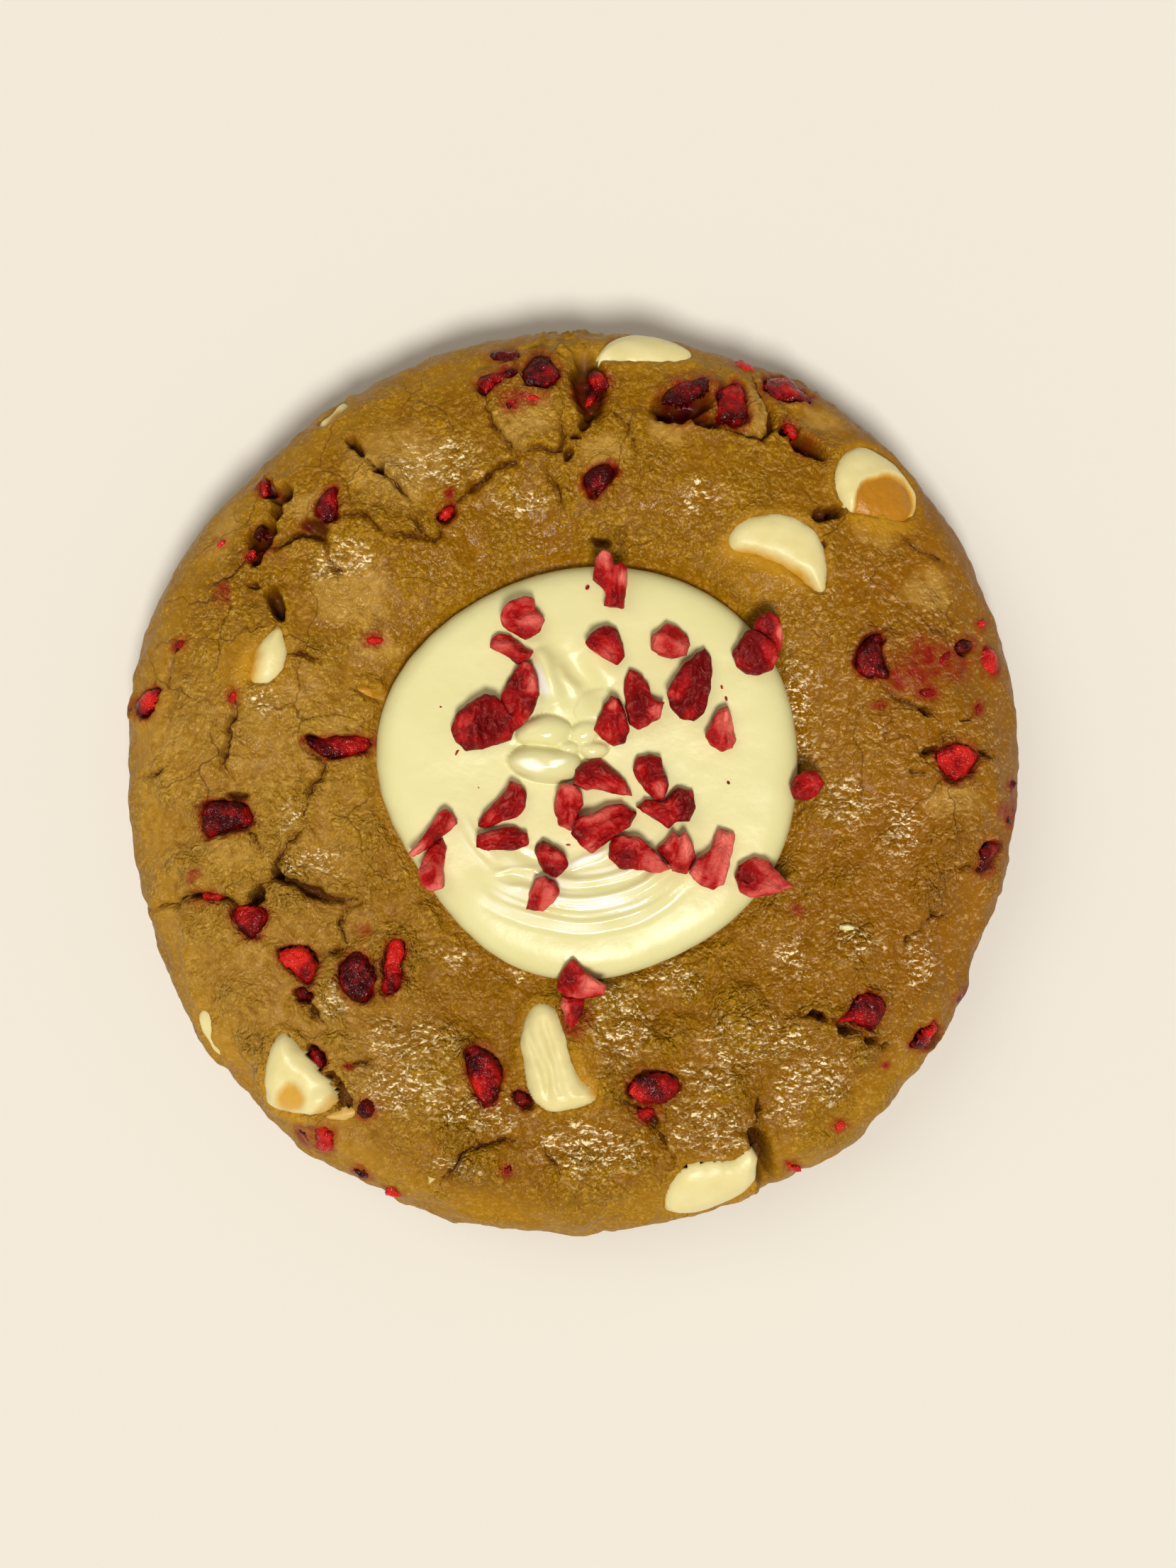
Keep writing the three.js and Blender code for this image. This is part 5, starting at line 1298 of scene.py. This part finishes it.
shard(0.51, 21.9, [(-1.2, -0.1), (-0.1, -0.2), (0.9, -1.0), (1.1, -2.3), (0.5, -3.2), (0.9, -4.8),
                   (-0.2, -5.1),
                   (-1.5, -4.5), (-2.0, -2.9), (-1.9, -1.0)],
      folds=[(0.5, -0.45, [(-0.2, -1.2), (-0.3, -3.0), (-0.1, -4.7)]),
             (0.6, 0.3, [(-1.2, -0.8), (-1.3, -2.8), (-0.9, -4.4)])],
      tints=[(-0.2, -4.2, 1.0, 0.75), (-1.3, -1.2, 0.9, 0.2)])
shard(0.30, 22.2, [(0.5, -3.6), (2.0, -3.3), (3.6, -2.4), (5.2, -2.2), (6.7, -3.2), (6.0, -4.6),
                   (4.4, -5.7), (3.0, -6.7),
                   (2.0, -7.5), (0.8, -6.7), (-0.3, -5.3)],
      folds=[(0.5, -0.35, [(0.8, -4.6), (2.8, -3.8), (5.2, -3.0)]),
             (0.6, 0.3, [(1.0, -5.4), (3.0, -4.6), (5.6, -3.8)]),
             (0.5, -0.3, [(1.6, -6.6), (3.4, -5.4), (5.0, -4.6)])],
      tints=[(2.0, -6.8, 0.8, 0.45)])
shard(0.20, 22.0, [(6.6, -2.6), (7.6, -1.8), (9.6, -1.9), (11.0, -0.5), (12.6, -0.8), (12.9, -2.6),
                   (12.2, -4.1),
                   (10.8, -4.1), (10.0, -4.9), (8.8, -4.0)],
      folds=[(0.6, -0.45, [(9.8, -2.2), (10.4, -3.2), (10.4, -4.4)]),
             (0.7, 0.35, [(11.6, -1.2), (12.0, -2.4), (11.8, -3.6)])],
      tints=[(8.0, -2.9, 1.2, 0.45), (11.8, -2.4, 1.2, 0.05)])
shard(0.30, 22.0, [(4.2, -5.8), (5.4, -5.5), (7.0, -5.8), (8.4, -7.0), (10.2, -9.0), (9.2, -9.5),
                   (6.6, -9.2), (4.9, -9.1),
                   (3.7, -8.0), (3.8, -6.8)],
      folds=[(0.4, 0.25, [(6.4, -6.6), (8.0, -7.8), (9.4, -9.0)]),
             (0.4, -0.25, [(5.8, -7.4), (7.4, -8.4), (8.8, -9.2)])],
      tints=[(5.0, -7.4, 1.6, 0.1), (8.6, -8.4, 1.6, 0.85)])
shard(0.50, 21.9, [(10.5, -5.0), (11.1, -5.8), (11.8, -5.1), (12.6, -6.6), (13.0, -8.1), (12.0, -9.7),
                   (10.4, -9.4),
                   (9.6, -8.0), (8.7, -7.1), (9.9, -6.0)],
      folds=[(0.5, -0.5, [(11.1, -6.0), (10.6, -7.4), (10.0, -8.6)]),
             (0.5, 0.35, [(12.0, -6.0), (12.0, -8.0), (11.4, -9.0)])],
      tints=[(9.9, -7.9, 0.8, 0.05), (11.2, -9.2, 0.8, 0.05), (12.2, -6.8, 1.2, 0.8),
             (9.8, -6.6, 0.7, 0.75)])
shard(0.71, 21.9, [(15.3, -4.8), (17.1, -5.3), (16.9, -6.8), (16.5, -8.6), (15.9, -10.8), (14.6, -11.3),
                   (13.2, -10.7),
                   (12.1, -9.6), (13.1, -8.0), (14.5, -7.1), (14.9, -5.9)],
      folds=[(0.6, 0.35, [(15.9, -5.6), (15.6, -7.6), (14.6, -9.8)]),
             (0.5, -0.3, [(14.8, -7.4), (14.0, -8.8)])],
      tints=[(14.2, -10.8, 1.2, 0.15), (16.0, -6.0, 1.2, 0.9)])
shard(0.55, 22.0, [(19.1, -7.8), (20.5, -8.2), (21.7, -9.5), (23.2, -11.0), (20.5, -11.9), (18.5, -12.2),
                   (17.5, -11.4),
                   (17.0, -10.0), (17.4, -8.8), (18.4, -8.1)],
      folds=[(0.5, -0.35, [(19.6, -9.0), (20.6, -10.0), (21.8, -10.8)]),
             (0.6, 0.3, [(18.4, -8.9), (19.2, -10.6)])],
      tints=[(18.4, -10.0, 1.6, 0.1), (21.8, -10.7, 1.5, 0.9)])
shard(0.24, 21.6, [(22.8, -0.7), (23.3, 0.5), (24.2, 1.2), (25.6, 1.2), (26.5, 0.0), (25.6, -1.5),
                   (24.6, -1.9),
                   (23.2, -1.8)],
      folds=[(0.6, -0.3, [(23.6, 0.2), (24.6, -0.4), (25.8, -0.4)])], tints=[(24.0, 0.6, 0.7, 0.5)])
shard(0.25, 21.9, [(-6.6, 0.2), (-5.6, -0.2), (-4.9, -1.2), (-5.0, -2.5), (-6.0, -3.7), (-7.4, -4.1),
                   (-9.3, -4.9),
                   (-10.2, -4.5), (-9.4, -3.2), (-8.2, -2.1), (-7.2, -0.9)],
      folds=[(0.6, 0.4, [(-6.2, -0.6), (-7.0, -2.2), (-8.8, -4.0)]),
             (0.5, -0.3, [(-5.6, -1.6), (-6.8, -3.2)])],
      tints=[(-5.8, -1.4, 1.1, 0.1), (-8.8, -3.8, 1.1, 0.6)])
shard(0.30, 21.8, [(-10.2, -5.5), (-8.6, -5.0), (-6.1, -4.6), (-4.8, -5.4), (-4.6, -6.5), (-6.1, -7.1),
                   (-8.8, -7.2),
                   (-10.2, -6.9)],
      folds=[(0.5, 0.3, [(-9.6, -5.9), (-7.4, -5.5), (-5.2, -5.6)]),
             (0.5, -0.35, [(-9.4, -6.4), (-7.4, -6.2), (-5.2, -6.2)])],
      tints=[(-8.8, -6.2, 1.4, 0.5)])
shard(0.10, 22.0, [(-3.3, -6.1), (-2.2, -6.5), (-0.8, -7.6), (-0.5, -8.8), (-1.8, -10.1), (-3.2, -9.4),
                   (-4.1, -7.4),
                   (-3.9, -6.5)],
      folds=[(0.6, 0.35, [(-3.2, -6.9), (-2.2, -8.0), (-1.6, -9.4)])], tints=[(-1.4, -7.8, 0.8, 0.4)])
shard(0.61, 21.7, [(-3.0, -9.8), (-4.0, -10.1), (-4.7, -11.8), (-5.0, -13.4), (-3.1, -13.6), (-2.0, -12.6),
                   (-1.4, -11.5),
                   (-2.0, -10.3)],
      folds=[(0.6, 0.3, [(-3.0, -10.6), (-3.4, -12.6)])], tints=[(-4.2, -12.8, 0.9, 0.25)])
shard(0.45, 21.8, [(-13.5, -2.7), (-12.7, -3.3), (-12.1, -4.3), (-13.2, -5.2), (-14.8, -6.5), (-16.8, -7.9),
                   (-17.4, -7.6), (-16.4, -6.4), (-15.2, -4.8), (-14.3, -3.3)],
      folds=[(0.5, 0.35, [(-13.2, -3.6), (-14.6, -5.2), (-16.6, -7.2)]),
             (0.4, -0.3, [(-12.8, -4.4), (-14.4, -5.9)])],
      tints=[(-13.1, -3.6, 1.0, 0.3), (-16.6, -7.2, 1.0, 0.95)])
shard(0.65, 21.8, [(-13.8, -6.0), (-13.4, -7.0), (-13.7, -9.3), (-13.6, -11.0), (-14.8, -11.5),
                   (-16.0, -10.9),
                   (-16.3, -9.4), (-15.7, -7.6), (-14.8, -6.3)],
      folds=[(0.6, 0.35, [(-14.2, -6.8), (-14.8, -8.8), (-14.8, -10.6)])], tints=[(-15.4, -10.2, 1.0, 0.3)])
shard(0.50, 21.4, [(-0.1, -18.6), (0.8, -19.5), (2.0, -20.5), (3.5, -21.4), (3.3, -22.3), (1.8, -22.8),
                   (-0.6, -22.7),
                   (-1.9, -21.8), (-1.6, -20.6), (-0.9, -19.4)],
      folds=[(0.4, -0.3, [(0.2, -19.6), (1.2, -21.0), (2.8, -21.9)]),
             (0.5, 0.3, [(-0.8, -20.4), (0.2, -22.0)])],
      tints=[(2.2, -21.4, 1.4, 0.85), (-0.6, -21.0, 1.2, 0.25)])
shard(0.50, 20.8, [(-1.2, -22.6), (-1.3, -23.6), (-0.9, -25.2), (-0.2, -26.0), (0.6, -25.3), (1.1, -24.1),
                   (1.2, -22.8)],
      tints=[(-0.9, -24.0, 0.8, 0.9), (0.6, -24.2, 0.9, 0.05)])

# Crumbs that fell beside the shards, lying flat on the chocolate: x, y, half length, half width.
FALLEN_CRUMBS = [
    (-17.0, -1.0, 0.35, 0.25), (-10.1, -0.6, 0.2, 0.15), (-0.5, -6.6, 0.3, 0.2), (16.4, -0.1, 0.22, 0.15),
    (1.5, 20.7, 0.3, 0.2), (16.2, 8.9, 0.3, 0.18), (15.7, 10.1, 0.25, 0.18), (-12.2, 3.2, 0.5, 0.2),
    (-14.0, 8.1, 0.2, 0.15),
]
CRUMB_TOP = 20.35

for x, y, length, width in FALLEN_CRUMBS:
    shard(0.3, CRUMB_TOP, oval(x, y, 40 * x, length, width), voxel=0.08)

only(shards[0])
for piece in shards:
    piece.select_set(True)
bpy.ops.object.join()
crumbled = shards[0]
crumbled.name = "dried_raspberry_pieces"
crumbled.data.name = "dried_raspberry_pieces"
only(crumbled)
bpy.ops.object.shade_smooth()


def freeze_dried_raspberry():
    """Freeze-dried raspberry: a matte, velvety skin, finely wrinkled, wine red to pink, with painted
    highlights and shade on the wrinkles.
    """
    material = new_material("freeze_dried_raspberry")
    tree = material.node_tree
    where = add(tree, "TexCoord").outputs["Object"]
    pink = add(tree, "Attribute", attribute_name="pink").outputs["Fac"]
    wrinkles = add(tree, "TexNoise", {"Vector": where, "Scale": 1 / (0.7 * MM), "Detail": 4.0,
                                      "Distortion": 0.8}).outputs["Fac"]
    # Wine red to pink, with painted highlights on the wrinkles' crests and painted shade in their hollows.
    tone = tinted(tree, colour("#700206"), [
        (pink, 0, 0.45, 1.0, "#b00d0d"), (pink, 0.45, 1.0, 1.0, "#ee766a"),
        (wrinkles, 0.52, 0.74, 0.22, "#f08a80"), (wrinkles, 0.48, 0.28, 0.35, "#5e0006"),
    ])
    bump = add(tree, "Bump", {"Height": wrinkles, "Strength": 0.9, "Distance": 0.45 * MM})
    shader = add(tree, "BsdfPrincipled", {
        "Base Color": tone, "Roughness": 0.5, "IOR": 1.45, "Specular IOR Level": 0.18,
        "Subsurface Weight": 0.1, "Subsurface Radius": (1.0, 0.2, 0.2), "Subsurface Scale": 0.6 * MM,
        "Normal": bump.outputs["Normal"],
    })
    add(tree, "OutputMaterial", {"Surface": shader.outputs["BSDF"]})
    return material


crumbled.data.materials.append(freeze_dried_raspberry())
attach(crumbled, "root")
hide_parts(*[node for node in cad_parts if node.startswith("raspberry_topping")])

# ---- the floor, the light and the camera -----------------------------------------------------
# A plain pale table under a broad lamp from the near side and a weaker, softer one from the far
# side, with surroundings that are brighter low down, and a camera that looks straight down.

bpy.ops.object.select_all(action="DESELECT")
bpy.ops.mesh.primitive_plane_add(size=60, location=(0, 0, 0))
floor = bpy.context.active_object
floor.name = "floor"
floor_material = new_material("pale_table")
shader = add(floor_material.node_tree, "BsdfPrincipled", {"Base Color": colour("#dedcd6"), "Roughness": 0.75})
add(floor_material.node_tree, "OutputMaterial", {"Surface": shader.outputs["BSDF"]})
floor.data.materials.append(floor_material)
LIT_HEIGHT = 15.0  # of the point that the lamps shine at


def soft_light(name, position, spread, strength, tint):
    """A far lamp, as wide as its spread in degrees; its position only says where it shines from."""
    light = bpy.data.lights.new(name, "SUN")
    light.angle = math.radians(spread)
    light.energy = strength
    light.color = colour(tint)[:3]
    lamp = bpy.data.objects.new(name, light)
    bpy.context.scene.collection.objects.link(lamp)
    lamp.location = position
    facing = Vector((0, 0, LIT_HEIGHT * MM)) - lamp.location
    lamp.rotation_euler = facing.to_track_quat("-Z", "Y").to_euler()


soft_light("near_light", (0.12, -0.92, 2.40), 15.0, 2.75, "#fff9f0")
soft_light("far_light", (-1.30, 0.80, 2.40), 38.0, 0.55, "#fbf4e6")
world = bpy.data.worlds.new("studio")
bpy.context.scene.world = world
world.use_nodes = True
background = world.node_tree.nodes["Background"]
background.inputs["Color"].default_value = colour("#f8efe0")
direction = add(world.node_tree, "TexCoord").outputs["Generated"]
height = add(world.node_tree, "SeparateXYZ", {"Vector": direction}).outputs["Z"]
fading = add(world.node_tree, "MapRange", {"Value": height, "From Max": 0.2, "To Min": 0.7, "To Max": 0.27})
world.node_tree.links.new(fading.outputs["Result"], background.inputs["Strength"])

VIEW_CENTRE = (1.55, -0.15)
VIEW_WIDTH = 125.1  # across the frame, at the height of the cookie's top
VIEW_TOP = 18.0  # the height of that top
CAMERA_OVER_TOP = 320.0
SENSOR_WIDTH = 36.0
lens = bpy.data.cameras.new("camera")
lens.sensor_fit = "HORIZONTAL"
lens.sensor_width = SENSOR_WIDTH
lens.lens = SENSOR_WIDTH * CAMERA_OVER_TOP / VIEW_WIDTH
lens.clip_start = 0.01
camera = bpy.data.objects.new("camera", lens)
bpy.context.scene.collection.objects.link(camera)
camera.location = (VIEW_CENTRE[0] * MM, VIEW_CENTRE[1] * MM, (VIEW_TOP + CAMERA_OVER_TOP) * MM)
bpy.context.scene.camera = camera
bpy.context.scene.view_settings.view_transform = "Standard"
